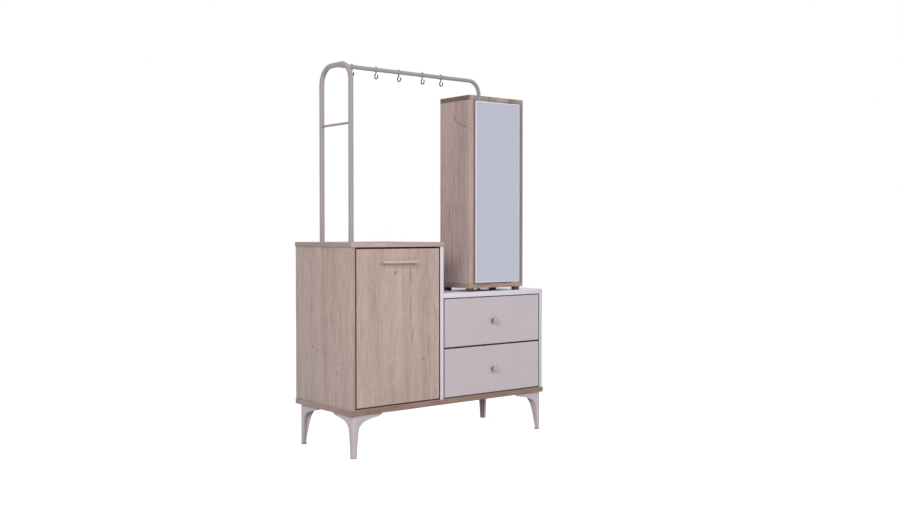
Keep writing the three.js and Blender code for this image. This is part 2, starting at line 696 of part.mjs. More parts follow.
// The shelves stop short of the arc that the door's hinge side sweeps.
const shelfFront = doorBack + DOOR_PIVOT_INSET + SHELF_SETBACK;
const bayHeight = (towerInnerTop - towerInnerBottom - 2 * TOWER_SHELF) / 3;
[['tower_shelf_lower', 1], ['tower_shelf_upper', 2]].forEach(([name, count]) => {
  const z = towerInnerBottom + count * bayHeight + (count - 1) * TOWER_SHELF;
  addPiece(name, block(towerInnerLeft, towerInnerRight, shelfFront, towerBackFace, z, z + TOWER_SHELF), oak);
});

const glideXs = [['left', TOWER_LEFT + GLIDE_INSET], ['right', towerRight - GLIDE_INSET]];
const glideYs = [['front', TOWER_FRONT + GLIDE_INSET], ['rear', towerBack - GLIDE_INSET]];
glideYs.forEach(([depthName, y]) => {
  glideXs.forEach(([sideName, x]) => {
    const glide = barAlongZ(GLIDE_RADIUS, UNIT_TOP_Z, towerBottom, x, y);
    addPiece(`glide_${depthName}_${sideName}`, glide, glideRubber);
  });
});

// Pivot plates are screwed flat to the tower's top and bottom boards. Each carries a pin that
// enters the door.
function pivotPlate(face, inward) {
  const reach = (length) => [face, face + inward * length].sort((a, b) => a - b);
  const [plateStart, plateEnd] = reach(DOOR_PLATE);
  const [pinStart, pinEnd] = reach(DOOR_END_GAP + DOOR_PIN_LENGTH);
  const leafOfPlate = block(
    doorAxisX - DOOR_PLATE_MARGIN,
    doorRight,
    doorAxisY - DOOR_PIN_RADIUS - DOOR_PLATE_RIM,
    TOWER_FRONT + DOOR_PLATE_DEPTH,
    plateStart,
    plateEnd,
  );
  return join(leafOfPlate, barAlongZ(DOOR_PIN_RADIUS, pinStart, pinEnd, doorAxisX, doorAxisY, SLIM_SIDES));
}
addPiece('lower_pivot_plate', pivotPlate(towerInnerBottom, 1), pivotSteel);
addPiece('upper_pivot_plate', pivotPlate(towerInnerTop, -1), pivotSteel);

const pinHole = (z0, z1) => barAlongZ(DOOR_PIN_RADIUS + FIT, z0, z1, doorAxisX, doorAxisY, SLIM_SIDES);
const holeDepth = DOOR_PIN_LENGTH + FIT;
addPiece(
  'mirror_door_leaf',
  cut(
    block(doorLeft, doorRight, doorBoardFront, doorBack, doorBottom, doorTop),
    pinHole(doorBottom - FIT, doorBottom + holeDepth),
    pinHole(doorTop - holeDepth, doorTop + FIT),
  ),
  white,
);
addPiece(
  'mirror_glass',
  block(doorLeft, doorRight, doorFront, doorBoardFront, doorBottom, doorTop),
  mirrorGlass,
);

// Coat frame: a bent tube stands on the cupboard as an upside-down U across its depth.
const up = new THREE.Vector3(0, 0, 1);
const down = new THREE.Vector3(0, 0, -1);
const toBack = new THREE.Vector3(0, 1, 0);
const toFront = new THREE.Vector3(0, -1, 0);
const toRight = new THREE.Vector3(1, 0, 0);
const frameFrontY = FRAME_CENTRE - FRAME_SPREAD / 2;
const frameRearY = FRAME_CENTRE + FRAME_SPREAD / 2;
const frameStations = [
  straightEnd(FRAME_PLANE, frameFrontY, TOP_Z, up),
  ...arcStations(
    new THREE.Vector3(FRAME_PLANE, frameFrontY + FRAME_BEND, RAIL_HEIGHT - FRAME_BEND),
    FRAME_BEND,
    toFront,
    up,
    BEND_STEPS,
  ),
  ...arcStations(
    new THREE.Vector3(FRAME_PLANE, frameRearY - FRAME_BEND, RAIL_HEIGHT - FRAME_BEND),
    FRAME_BEND,
    up,
    toBack,
    BEND_STEPS,
  ),
  straightEnd(FRAME_PLANE, frameRearY, TOP_Z, down),
];
addPiece('side_frame_tube', sweep(FRAME_RADIUS, frameStations, ROUND_SIDES), paintedMetal);

// The rung's ends are cut hollow to sit against the U's two legs.
const seatBottom = RUNG_HEIGHT - 2 * RUNG_RADIUS;
const seatTop = RUNG_HEIGHT + 2 * RUNG_RADIUS;
const rungSeat = (y) => barAlongZ(FRAME_RADIUS + FIT, seatBottom, seatTop, FRAME_PLANE, y, FINE_SIDES);
addPiece(
  'side_frame_rung',
  cut(
    barAlongY(RUNG_RADIUS, frameFrontY, frameRearY, FRAME_PLANE, RUNG_HEIGHT, SLIM_SIDES),
    rungSeat(frameFrontY),
    rungSeat(frameRearY),
  ),
  paintedMetal,
);

// The coat rail starts in a saddle cut against the U's cross bar and turns down behind the tower.
const railStations = [
  straightEnd(FRAME_PLANE, FRAME_CENTRE, RAIL_HEIGHT, toRight),
  ...arcStations(
    new THREE.Vector3(RAIL_DROP - RAIL_BEND, FRAME_CENTRE, RAIL_HEIGHT - RAIL_BEND),
    RAIL_BEND,
    up,
    toRight,
    BEND_STEPS,
  ),
  straightEnd(RAIL_DROP, FRAME_CENTRE, UNIT_TOP_Z, down),
];
const saddleReach = 2 * FRAME_RADIUS;
const saddle = barAlongY(
  FRAME_RADIUS + FIT,
  FRAME_CENTRE - saddleReach,
  FRAME_CENTRE + saddleReach,
  FRAME_PLANE,
  RAIL_HEIGHT,
  FINE_SIDES,
);
const saddleWaste = block(
  FRAME_PLANE - saddleReach,
  FRAME_PLANE,
  FRAME_CENTRE - saddleReach,
  FRAME_CENTRE + saddleReach,
  RAIL_HEIGHT - saddleReach,
  RAIL_HEIGHT + saddleReach,
);
addPiece(
  'coat_rail_tube',
  cut(sweep(RAIL_RADIUS, railStations, ROUND_SIDES), saddle, saddleWaste),
  paintedMetal,
);

// Hooks: a thin collar round the rail, with a nub above and one below that holds a bent wire. The
// wire steps to the back and curls forward into an open J.
function hookGeometry() {
  const inner = RAIL_RADIUS + FIT;
  const outer = inner + HOOK_COLLAR;
  const half = HOOK_COLLAR_LENGTH / 2;
  const middle = inner + HOOK_COLLAR / 2;
  const collar = barAlongX(outer, -half, half, 0, 0, FINE_SIDES);
  const upperNub = barAlongZ(HOOK_NUB_RADIUS, middle, outer + HOOK_NUB_HEIGHT, 0, 0, WIRE_SIDES);
  const lowerNub = barAlongZ(HOOK_NUB_RADIUS, -outer - HOOK_NUB_HEIGHT, -middle, 0, 0, WIRE_SIDES);
  const centre = new THREE.Vector3(0, -HOOK_CENTRE_FRONT, -HOOK_CENTRE_DROP);
  const shankTop = new THREE.Vector3(0, 0, -middle);
  const shankEnd = centre.clone().add(new THREE.Vector3(0, HOOK_RADIUS, 0));
  const fall = shankTop.z - shankEnd.z;
  const shank = new THREE.CubicBezierCurve3(
    shankTop,
    shankTop.clone().addScaledVector(down, fall * 0.3),
    shankEnd.clone().addScaledVector(up, fall * 0.4),
    shankEnd,
  );
  const tip = toFront.clone().applyAxisAngle(toRight, -HOOK_TIP_TURN);
  const stations = [];
  for (let step = 0; step < HOOK_STEPS; step += 1) {
    const share = step / HOOK_STEPS;
    stations.push({ point: shank.getPoint(share), tangent: shank.getTangent(share) });
  }
  stations.push(...arcStations(centre, HOOK_RADIUS, toBack, down, HOOK_STEPS));
  stations.push(...arcStations(centre, HOOK_RADIUS, down, tip, HOOK_STEPS).slice(1));
  const wire = sweep(HOOK_WIRE_RADIUS, stations, WIRE_SIDES);
  const bore = barAlongX(inner, -HOOK_COLLAR_LENGTH, HOOK_COLLAR_LENGTH, 0, 0, FINE_SIDES);
  return cut(join(collar, upperNub, lowerNub, wire), bore);
}

HOOK_PLACES.forEach((x, index) => {
  addPiece(`hook_${index + 1}`, hookGeometry().translate(x, FRAME_CENTRE, RAIL_HEIGHT), hookMetal);
});

export default group;
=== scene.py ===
import math

import bpy
from mathutils import Matrix, Vector


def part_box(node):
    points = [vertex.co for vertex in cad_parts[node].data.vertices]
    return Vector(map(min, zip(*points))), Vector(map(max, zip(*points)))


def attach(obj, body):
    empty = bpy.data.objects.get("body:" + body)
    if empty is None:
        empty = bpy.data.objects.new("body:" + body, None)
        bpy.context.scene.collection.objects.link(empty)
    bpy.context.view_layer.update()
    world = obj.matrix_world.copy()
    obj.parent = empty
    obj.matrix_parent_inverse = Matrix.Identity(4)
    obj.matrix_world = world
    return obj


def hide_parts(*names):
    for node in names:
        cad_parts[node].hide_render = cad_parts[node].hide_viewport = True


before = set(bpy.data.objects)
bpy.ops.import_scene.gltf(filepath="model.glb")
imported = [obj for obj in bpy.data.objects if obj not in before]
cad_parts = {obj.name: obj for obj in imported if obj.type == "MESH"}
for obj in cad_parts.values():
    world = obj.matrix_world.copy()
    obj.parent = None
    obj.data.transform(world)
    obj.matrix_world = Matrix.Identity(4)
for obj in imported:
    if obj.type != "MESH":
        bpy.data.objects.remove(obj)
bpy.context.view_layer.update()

# The viewpoint: a standing photographer's studio camera, left of the dresser and a little
# above half its height, looking almost level through a normal lens.
CAMERA_PLACE = (-2.4153, -3.1219, 0.7732)
CAMERA_LOOK = Vector((0.6306, 0.7759, -0.0203))
CAMERA_LENS_MM = 41.87
camera_data = bpy.data.cameras.new("studio_camera")
camera_data.sensor_width = 36.0
camera_data.lens = CAMERA_LENS_MM
camera = bpy.data.objects.new("studio_camera", camera_data)
bpy.context.scene.collection.objects.link(camera)
camera.location = CAMERA_PLACE
camera.rotation_mode = "QUATERNION"
camera.rotation_quaternion = CAMERA_LOOK.to_track_quat("-Z", "Y")
bpy.context.scene.camera = camera
bpy.context.scene.view_settings.view_transform = "Standard"


# The studio: a white paper floor and an even white surround, one soft box in front and a little
# to the right, a wider one on the left and a weak one behind, so that the front reads lighter
# than the side.
def paint(hex_value):
    """A colour as a maker's chart gives it, turned to the linear values that shaders take."""
    parts = [int(hex_value[place:place + 2], 16) / 255 for place in (1, 3, 5)]
    linear = [part / 12.92 if part <= 0.04045 else ((part + 0.055) / 1.055) ** 2.4 for part in parts]
    return (*linear, 1.0)


def add_node(tree, kind, inputs=None, **settings):
    """Adds a node with its settings. Each input is given a fixed value, the output that feeds
    it, or the node whose first output feeds it."""
    made = tree.nodes.new("ShaderNode" + kind)
    for name, value in settings.items():
        setattr(made, name, value)
    for socket, value in (inputs or {}).items():
        source = value.outputs[0] if isinstance(value, bpy.types.Node) else value
        if isinstance(source, bpy.types.NodeSocket):
            tree.links.new(source, made.inputs[socket])
        else:
            made.inputs[socket].default_value = source
    return made


world = bpy.data.worlds.new("white_surround")
bpy.context.scene.world = world
world.use_nodes = True
sky = world.node_tree
sky.nodes.clear()
ray = add_node(sky, "LightPath").outputs
seen = add_node(sky, "Math", {0: ray["Is Camera Ray"], 1: ray["Is Glossy Ray"]}, operation="MAXIMUM")
seen = add_node(sky, "Math", {0: seen, 1: ray["Is Transmission Ray"]}, operation="MAXIMUM")
lit = add_node(sky, "Background", {"Color": (0.97, 0.98, 1.0, 1.0), "Strength": 0.32})
shown = add_node(sky, "Background", {"Color": (1.0, 1.0, 1.0, 1.0), "Strength": 1.0})
mixed = add_node(sky, "MixShader", {0: seen, 1: lit, 2: shown})
add_node(sky, "OutputWorld", {"Surface": mixed})

bpy.ops.object.select_all(action="DESELECT")
bpy.ops.mesh.primitive_plane_add(size=12.0, location=(0.0, 0.0, 0.0))
floor = bpy.context.object
floor.name = "paper_floor"
paper = bpy.data.materials.new("white_paper")
paper.use_nodes = True
tree = paper.node_tree
tree.nodes.clear()
ray = add_node(tree, "LightPath").outputs
seen = add_node(tree, "Math", {0: ray["Is Camera Ray"], 1: ray["Is Glossy Ray"]}, operation="MAXIMUM")
matt = add_node(tree, "BsdfDiffuse", {"Color": (0.86, 0.86, 0.87, 1.0)})
glow = add_node(tree, "Emission", {"Color": (1.0, 1.0, 1.0, 1.0), "Strength": 0.74})
lifted = add_node(tree, "AddShader", {0: matt, 1: glow})
dim = add_node(tree, "BsdfDiffuse", {"Color": (0.56, 0.56, 0.57, 1.0)})
mixed = add_node(tree, "MixShader", {0: seen, 1: dim, 2: lifted})
add_node(tree, "OutputMaterial", {"Surface": mixed})
floor.data.materials.append(paper)

LAMP_AIM = Vector((0.0, 0.0, 0.7))
for name, place, size, power in (
    ("front_soft_box", (1.2, -5.0, 2.7), 0.9, 126.0),
    ("left_soft_box", (-4.2, -2.6, 2.9), 1.8, 164.0),
    ("rear_fill", (1.6, 4.6, 2.4), 2.2, 60.0),
):
    lamp_data = bpy.data.lights.new(name, "AREA")
    lamp_data.shape = "SQUARE"
    lamp_data.size = size
    lamp_data.energy = power
    lamp = bpy.data.objects.new(name, lamp_data)
    bpy.context.scene.collection.objects.link(lamp)
    lamp.location = place
    lamp.rotation_mode = "QUATERNION"
    lamp.rotation_quaternion = (LAMP_AIM - Vector(place)).to_track_quat("-Z", "Y")
    lamp.visible_glossy = False


# The cupboard's outer boards: chipboard with an oak print pressed into its melamine skin. The
# long edges carry a printed edge band, and the arrises are eased by the banding machine.
ARRIS = 0.0005


def ease_edges(sharp, offset, segments, clamp=False):
    """Rounds the active piece's sharp edges, and leaves it in object mode."""
    bpy.ops.object.mode_set(mode="EDIT")
    bpy.ops.mesh.select_all(action="DESELECT")
    bpy.ops.mesh.select_mode(type="EDGE")
    bpy.ops.mesh.edges_select_sharp(sharpness=math.radians(sharp))
    bpy.ops.mesh.bevel(offset=offset, segments=segments, affect="EDGES", clamp_overlap=clamp)
    bpy.ops.mesh.select_mode(type="VERT")
    bpy.ops.object.mode_set(mode="OBJECT")


def eased_copy(node, arris=ARRIS, rounds=2, sharp=30.0):
    """A CAD solid's faces merged into one skin, with its sharp edges eased."""
    bpy.ops.object.select_all(action="DESELECT")
    piece = bpy.data.objects.new("dressed_" + node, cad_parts[node].data.copy())
    bpy.context.scene.collection.objects.link(piece)
    piece.data.materials.clear()
    piece.select_set(True)
    bpy.context.view_layer.objects.active = piece
    bpy.ops.object.mode_set(mode="EDIT")
    bpy.ops.mesh.select_all(action="SELECT")
    bpy.ops.mesh.remove_doubles(threshold=0.00001)
    bpy.ops.mesh.dissolve_limited(angle_limit=math.radians(1.0))
    bpy.ops.mesh.normals_make_consistent(inside=False)
    if arris:
        ease_edges(sharp, arris, rounds, clamp=True)
    bpy.ops.object.mode_set(mode="OBJECT")
    bpy.ops.object.shade_smooth_by_angle(angle=math.radians(32.0))
    return piece


def skin_faces(piece, *skins):
    """Each skin is given with the directions that its faces look in. The first skin takes all
    the faces that no later one asks for."""
    for skin, _ in skins:
        piece.data.materials.append(skin)
    for face in piece.data.polygons:
        face.material_index = 0
        for number, (_, directions) in enumerate(skins):
            for direction in directions:
                axis = "xyz".index(direction[1])
                if face.normal[axis] * (1 if direction[0] == "+" else -1) > 0.8:
                    face.material_index = number


def stands_for(piece, body, slot, *nodes):
    """The piece rides on its body in place of the CAD solids."""
    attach(piece, body)
    if nodes:
        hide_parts(*nodes)


def dress_board(node, body, slot, *skins):
    """A board in place of its CAD solid, with each skin on the faces that it covers."""
    board = eased_copy(node)
    skin_faces(board, *skins)
    stands_for(board, body, slot, node)


def blank_material(name):
    """A material with only its shader and output, ready for its own nodes."""
    made = bpy.data.materials.new(name)
    made.use_nodes = True
    made.node_tree.nodes.clear()
    shader = add_node(made.node_tree, "BsdfPrincipled")
    add_node(made.node_tree, "OutputMaterial", {"Surface": shader})
    return made, made.node_tree, shader


def oak_melamine(
    name, grain, start, light, middle, dark, marks=(), figure=None, pores=0.4, spread=0.14
):
    """Oak print on melamine: tone bands about 70 mm wide, streaks of 11 mm, fibres of 5 mm and
    short pores of 2 mm, drawn coarser than the print's own so that they show. A slow drift and a
    quick ripple bend them, knots and dark streaks lie between them, and the pores are pressed."""
    made, tree, shader = blank_material(name)
    place = add_node(tree, "TexCoord").outputs["Object"]
    parts = add_node(tree, "SeparateXYZ", {0: place}).outputs
    side, third = [axis for axis in "XYZ" if axis != grain]
    across = add_node(tree, "Math", {0: parts[side], 1: parts[third]}, operation="ADD")
    board = add_node(tree, "CombineXYZ", {0: across, 1: parts[grain]})
    flat = add_node(tree, "VectorMath", {0: board, 1: start}, operation="ADD")
    # The bends only shift the print across its grain, by the difference from a middle value.
    middle_value = (0.5, 0.5, 0.5)
    slow = add_node(tree, "VectorMath", {0: flat, 1: (9.0, 2.6, 1.0)}, operation="MULTIPLY")
    drift = add_node(tree, "TexNoise", {"Scale": 1.0, "Detail": 3.0, "Roughness": 0.6, "Vector": slow})
    drift = {0: drift.outputs["Color"], 1: middle_value}
    drift = add_node(tree, "VectorMath", drift, operation="SUBTRACT")
    lines = {0: drift, 1: (0.05, 0.0, 0.0), 2: flat}
    lines = add_node(tree, "VectorMath", lines, operation="MULTIPLY_ADD")
    gentle = {0: drift, 1: (0.016, 0.0, 0.0), 2: flat}
    gentle = add_node(tree, "VectorMath", gentle, operation="MULTIPLY_ADD")
    quick = add_node(tree, "VectorMath", {0: flat, 1: (22.0, 13.0, 1.0)}, operation="MULTIPLY")
    ripple = add_node(tree, "TexNoise", {"Scale": 1.0, "Detail": 1.5, "Vector": quick})
    ripple = {0: ripple.outputs["Color"], 1: middle_value}
    ripple = add_node(tree, "VectorMath", ripple, operation="SUBTRACT")
    lines = {0: ripple, 1: (0.009, 0.0, 0.0), 2: lines}
    lines = add_node(tree, "VectorMath", lines, operation="MULTIPLY_ADD")
    darkness = None
    for across_at, along_at, half_width, half_length, angle, depth in marks:
        spot = {
            "Vector": gentle,
            "Location": (across_at + start[0], along_at + start[1], start[2]),
            "Rotation": (0.0, 0.0, math.radians(angle)),
            "Scale": (half_width, half_length, 1.0),
        }
        local = add_node(tree, "Mapping", spot, vector_type="TEXTURE")
        reach = add_node(tree, "VectorMath", {0: local}, operation="LENGTH").outputs["Value"]
        core = {"Value": reach, "From Min": 0.2, "From Max": 1.25, "To Min": depth, "To Max": 0.0}
        core = add_node(tree, "MapRange", core, interpolation_type="SMOOTHSTEP")
        if half_length < half_width * 4.0:
            # A knot pushes the fibres round itself.
            swell = {"Value": reach, "From Min": 0.4, "From Max": 4.0, "To Min": -0.7 * half_width}
            swell = add_node(tree, "MapRange", {**swell, "To Max": 0.0}, interpolation_type="SMOOTHSTEP")
            push = add_node(tree, "VectorMath", {0: local, "Scale": swell}, operation="SCALE")
            push = {0: push, 1: (1.0, 0.0, 0.0), 2: lines}
            lines = add_node(tree, "VectorMath", push, operation="MULTIPLY_ADD")
        if darkness is None:
            darkness = core
        else:
            darkness = add_node(tree, "Math", {0: darkness, 1: core}, operation="MAXIMUM")
    layers = []
    for scale, detail, rough in (
        ((15.0, 1.3, 1.0), 2.0, 0.5),
        ((88.0, 3.4, 1.0), 4.0, 0.6),
        ((210.0, 13.0, 1.0), 4.0, 0.65),
        ((460.0, 42.0, 1.0), 2.0, 0.5),
    ):
        drawn = add_node(tree, "VectorMath", {0: lines, 1: scale}, operation="MULTIPLY")
        drawn = {"Scale": 1.0, "Detail": detail, "Roughness": rough, "Vector": drawn}
        layers.append(add_node(tree, "TexNoise", drawn).outputs["Fac"])
    bands, streaks, fibres, pits = layers
    tone = add_node(tree, "Math", {0: bands, 1: 0.32}, operation="MULTIPLY")
    tone = add_node(tree, "Math", {0: streaks, 1: 0.26, 2: tone}, operation="MULTIPLY_ADD")
    tone = add_node(tree, "Math", {0: fibres, 1: 0.42, 2: tone}, operation="MULTIPLY_ADD")
    ramp = add_node(tree, "ValToRGB", {"Fac": tone})
    tones = ramp.color_ramp.elements
    tones[0].position = 0.5 - spread
    tones[0].color = paint(dark)
    tones[1].position = 0.5 + spread
    tones[1].color = paint(light)
    tones.new(0.5).color = paint(middle)
    pore = {"Value": pits, "From Min": 0.56, "From Max": 0.72, "To Min": 0.0, "To Max": pores}
    pore = add_node(tree, "MapRange", pore, interpolation_type="SMOOTHSTEP")
    colour = {0: pore, 6: ramp.outputs["Color"], 7: paint("#7d675f")}
    colour = add_node(tree, "Mix", colour, data_type="RGBA").outputs[2]
    if figure:
        # The figure: a column of slanting strokes, where the saw cut wavy growth rings.
        centre_across, centre_along, half_width, half_length = figure
        column = {
            "Vector": gentle,
            "Location": (centre_across + start[0], centre_along + start[1], start[2]),
            "Rotation": (0.0, 0.0, math.radians(3.0)),
            "Scale": (half_width, half_length, 1.0),
        }
        column = add_node(tree, "Mapping", column, vector_type="TEXTURE")
        reach = add_node(tree, "VectorMath", {0: column}, operation="LENGTH").outputs["Value"]
        inside = {"Value": reach, "From Min": 0.55, "From Max": 1.15, "To Min": 1.0, "To Max": 0.0}
        inside = add_node(tree, "MapRange", inside, interpolation_type="SMOOTHSTEP")
        waves = (math.tau / 0.0125, math.tau / 0.03, 0.0)
        strokes = add_node(tree, "VectorMath", {0: lines, 1: waves}, operation="DOT_PRODUCT")
        strokes = add_node(tree, "Math", {0: strokes.outputs["Value"]}, operation="SINE")
        for tint, end in (("#886c62", 1.0), ("#cbb8ad", -1.0)):
            share = {"Value": strokes, "From Min": 0.1 * end, "From Max": end, "To Max": 0.5}
            share = add_node(tree, "MapRange", share)
            share = add_node(tree, "Math", {0: share, 1: inside}, operation="MULTIPLY")
            colour = {0: share, 6: colour, 7: paint(tint)}
            colour = add_node(tree, "Mix", colour, data_type="RGBA").outputs[2]
    if darkness is not None:
        colour = {0: darkness, 6: colour, 7: paint("#664e46")}
        colour = add_node(tree, "Mix", colour, data_type="RGBA").outputs[2]
    tree.links.new(colour, shader.inputs["Base Color"])
    gloss = add_node(tree, "MapRange", {"Value": streaks, "To Min": 0.5, "To Max": 0.62})
    tree.links.new(gloss.outputs[0], shader.inputs["Roughness"])
    relief = {"Height": pits, "Strength": 0.25, "Distance": 0.0003}
    relief = add_node(tree, "Bump", relief, invert=True)
    tree.links.new(relief.outputs[0], shader.inputs["Normal"])
    return made


oak_side_skin = oak_melamine(
    "oak_melamine_side",
    "Z",
    (0.0, 0.0, 0.0),
    "#bfa9a1",
    "#b09b93",
    "#99837b",
    marks=(
        (-0.3733, 0.3645, 0.0055, 0.008, 0.0, 0.75),
        (-0.398, 0.3542, 0.004, 0.006, 0.0, 0.5),
        (-0.5255, 0.2858, 0.0045, 0.01, 0.0, 0.6),
        (-0.4673, 0.7148, 0.005, 0.006, 0.0, 0.6),
        (-0.495, 0.48, 0.004, 0.06, 3.0, 0.35),
    ),
    spread=0.115,
)
oak_flat_skin = oak_melamine("oak_melamine_flat", "X", (1.3, 0.4, 2.0), "#bda9a0", "#b09c93", "#9b877e")
oak_band_flat = oak_melamine("oak_edge_band_flat", "X", (2.1, 0.9, 5.0), "#c0a5a1", "#b39993", "#9c847d")
oak_band_upright = oak_melamine(
    "oak_edge_band_upright", "Z", (0.7, 1.9, 7.0), "#bba49e", "#ac958e", "#96807a"
)
oak_band_end = oak_melamine(
    "oak_edge_band_end", "Y", (5.1, 2.9, 6.0), "#a8928c", "#99837d", "#826d66", pores=0.5
)
oak_band_low = oak_melamine(
    "oak_edge_band_low", "X", (3.3, 8.9, 2.0), "#9b7c6f", "#8b6f64", "#6f554d", pores=0.6, spread=0.09
)

UPRIGHT_FACES = ("-x", "+x")
LEVEL_FACES = ("+z", "-z")
skins = ((oak_band_upright, ()), (oak_side_skin, UPRIGHT_FACES))
dress_board("left_side_panel", "carcass", "oak_board", *skins)
for node, band in (("cabinet_top", oak_band_flat), ("bottom_panel", oak_band_low)):
    skins = ((band, ()), (oak_flat_skin, LEVEL_FACES), (oak_band_end, UPRIGHT_FACES))
    dress_board(node, "carcass", "oak_board", *skins)


# The white boards: chipboard in a satin white melamine with a fine leather-like press grain,
# edge-banded in white; the right side's edges are painted grey as painted shade. The walls that
# face a leaf or a drawer are painted grey-brown inside, as painted shade of the gaps.
def pressed_skin(name, base, shade, rough, cloud, press, relief, shine=0.5):
    """A skin of two close colours in a barely visible cloud, given by its scale and detail. A
    fine texture, given by its width in millimetres and its detail, moves the roughness between
    two values and makes a relief, given by its strength and its depth in metres."""
    made, tree, shader = blank_material(name)
    place = add_node(tree, "TexCoord").outputs["Object"]
    cloud = add_node(tree, "TexNoise", {"Scale": cloud[0], "Detail": cloud[1], "Vector": place})
    tint = add_node(tree, "Mix", {0: cloud, 6: paint(base), 7: paint(shade)}, data_type="RGBA")
    tree.links.new(tint.outputs[2], shader.inputs["Base Color"])
    press = {"Scale": 1000.0 / press[0], "Detail": press[1], "Vector": place}
    press = add_node(tree, "TexNoise", press)
    gloss = add_node(tree, "MapRange", {"Value": press, "To Min": rough[0], "To Max": rough[1]})
    tree.links.new(gloss.outputs[0], shader.inputs["Roughness"])
    bump = add_node(tree, "Bump", {"Height": press, "Strength": relief[0], "Distance": relief[1]})
    tree.links.new(bump.outputs[0], shader.inputs["Normal"])
    shader.inputs["Specular IOR Level"].default_value = shine
    return made


def plain_melamine(name, base, shade, grain_mm=0.9, bump=0.12, rough=0.42, shine=0.5):
    """A plain melamine skin, with a pressed grain about a millimetre wide."""
    gloss = (rough - 0.05, rough + 0.07)
    return pressed_skin(name, base, shade, gloss, (6.0, 2.0), (grain_mm, 2.0), (bump, 0.0002), shine)


white_skin = plain_melamine("white_melamine", "#dcd7df", "#d6d1da")
white_band = plain_melamine("white_edge_band", "#d5cfd7", "#cec9d1", rough=0.36)
# Painted shade: the right side's grey edges and the grey-brown inside walls stand in for shade.
right_edge_shade_band = plain_melamine("right_edge_shade_edge_band", "#c9c4c9", "#bfbabf", rough=0.36)
inside_gap_shade_skin = plain_melamine("inside_gap_shade_melamine", "#5b4c49", "#524441", rough=0.6, shine=0.2)
white_top = plain_melamine("white_satin_melamine", "#dcd7df", "#d6d1da", bump=0.05, rough=0.24)
for node, band in (("divider_panel", white_band), ("right_side_panel", right_edge_shade_band)):
    skins = ((band, ()), (white_skin, ("+x",)), (inside_gap_shade_skin, ("-x",)))
    dress_board(node, "carcass", "white_board", *skins)
skins = ((white_band, ()), (white_top, ("+z",)), (inside_gap_shade_skin, ("-z",)))
dress_board("drawer_unit_top", "carcass", "white_board", *skins)


# The shoe flap's leaf: the same oak board with its own print, where a wild streak, small knots
# and a column of slanting strokes run down the right half. Its edges are painted dark brown, and
# its left edge a warmer brown, as painted shade of the gaps round the leaf.
def pick_faces(piece, wanted):
    """Goes into edit mode with only those of the active piece's faces selected that are wanted."""
    bpy.ops.object.mode_set(mode="EDIT")
    bpy.ops.mesh.select_all(action="DESELECT")
    bpy.ops.object.mode_set(mode="OBJECT")
    for face in piece.data.polygons:
        face.select = wanted(face)
    bpy.ops.object.mode_set(mode="EDIT")
    bpy.ops.mesh.select_mode(type="FACE")


def leave_edit():
    """Goes back to object mode, with the vertex selection that the next edit starts from."""
    bpy.ops.mesh.select_mode(type="VERT")
    bpy.ops.object.mode_set(mode="OBJECT")


def show_shade_band(piece, width, number, left_number):
    """An edge band is as thick as this width, so its own edge frames the front face; its dark colour there
    is painted shade of the gap round the piece.
    """
    fronts = [face.center.x for face in piece.data.polygons if face.normal.y < -0.99]
    middle = sum(fronts) / len(fronts)
    pick_faces(piece, lambda face: face.normal.y < -0.99)
    bpy.ops.mesh.inset(thickness=width)
    leave_edit()
    for face in piece.data.polygons:
        if face.normal.y < -0.99 and not face.select:
            at_left = face.center.x < middle - 4.0 * width
            face.material_index = left_number if at_left else number


flap_skin = oak_melamine(
    "oak_melamine_flap",
    "Z",
    (4.2, 2.0, 9.0),
    "#bea9a1",
    "#b09b92",
    "#9a857a",
    marks=(
        (-0.4333, 0.6301, 0.0075, 0.0085, 20.0, 0.65),
        (-0.4532, 0.5986, 0.003, 0.004, 0.0, 0.5),
        (-0.3085, 0.3192, 0.0045, 0.006, 0.0, 0.75),
        (-0.3675, 0.615, 0.003, 0.045, 1.5, 0.75),
        (-0.3665, 0.505, 0.0034, 0.075, -1.0, 0.6),
        (-0.36, 0.405, 0.0045, 0.035, -8.0, 0.5),
        (-0.5455, 0.652, 0.003, 0.034, 6.0, 0.45),
        (-0.52, 0.56, 0.0035, 0.05, 2.0, 0.3),
        (-0.29, 0.36, 0.004, 0.05, 2.0, 0.3),
    ),
    figure=(-0.3635, 0.272, 0.0145, 0.1),
)
# Painted shade: the edges' dark and warm browns stand in for the shade inside the gaps round the leaf.
gap_shade_band = plain_melamine("gap_shade_edge_band", "#351a15", "#2a1410", rough=0.6, shine=0.06)
left_gap_shade_band = plain_melamine("left_gap_shade_edge_band", "#6f5140", "#634737", rough=0.6, shine=0.1)
leaf = eased_copy("flap_leaf", arris=0.0003)
skin_faces(leaf, (gap_shade_band, ()), (flap_skin, ("-y", "+y")), (left_gap_shade_band, ("-x",)))
show_shade_band(leaf, 0.0016, 0, 2)
stands_for(leaf, "shoe_flap", "oak_board", "flap_leaf")


# The flap's handle: a drawn aluminium bar with turned ends on two posts 128 mm apart,
# powder-coated in a warm pale grey that keeps a soft highlight.
ALONG_X = (0.0, math.pi / 2, 0.0)
ALONG_Y = (math.pi / 2, 0.0, 0.0)
POST_REACH = 0.064
POST_SHARE = 0.8
FOOT_DEPTH = 0.0022
FOOT_STEP = 0.0004
FOOT_SHARE = 1.3


def powder_coat(name, base, shade, rough):
    """Powder coat: an even colour and a slight orange peel about 1.6 mm across."""
    gloss = (rough - 0.04, rough + 0.06)
    return pressed_skin(name, base, shade, gloss, (14.0, 2.0), (1.6, 1.0), (0.15, 0.0001))


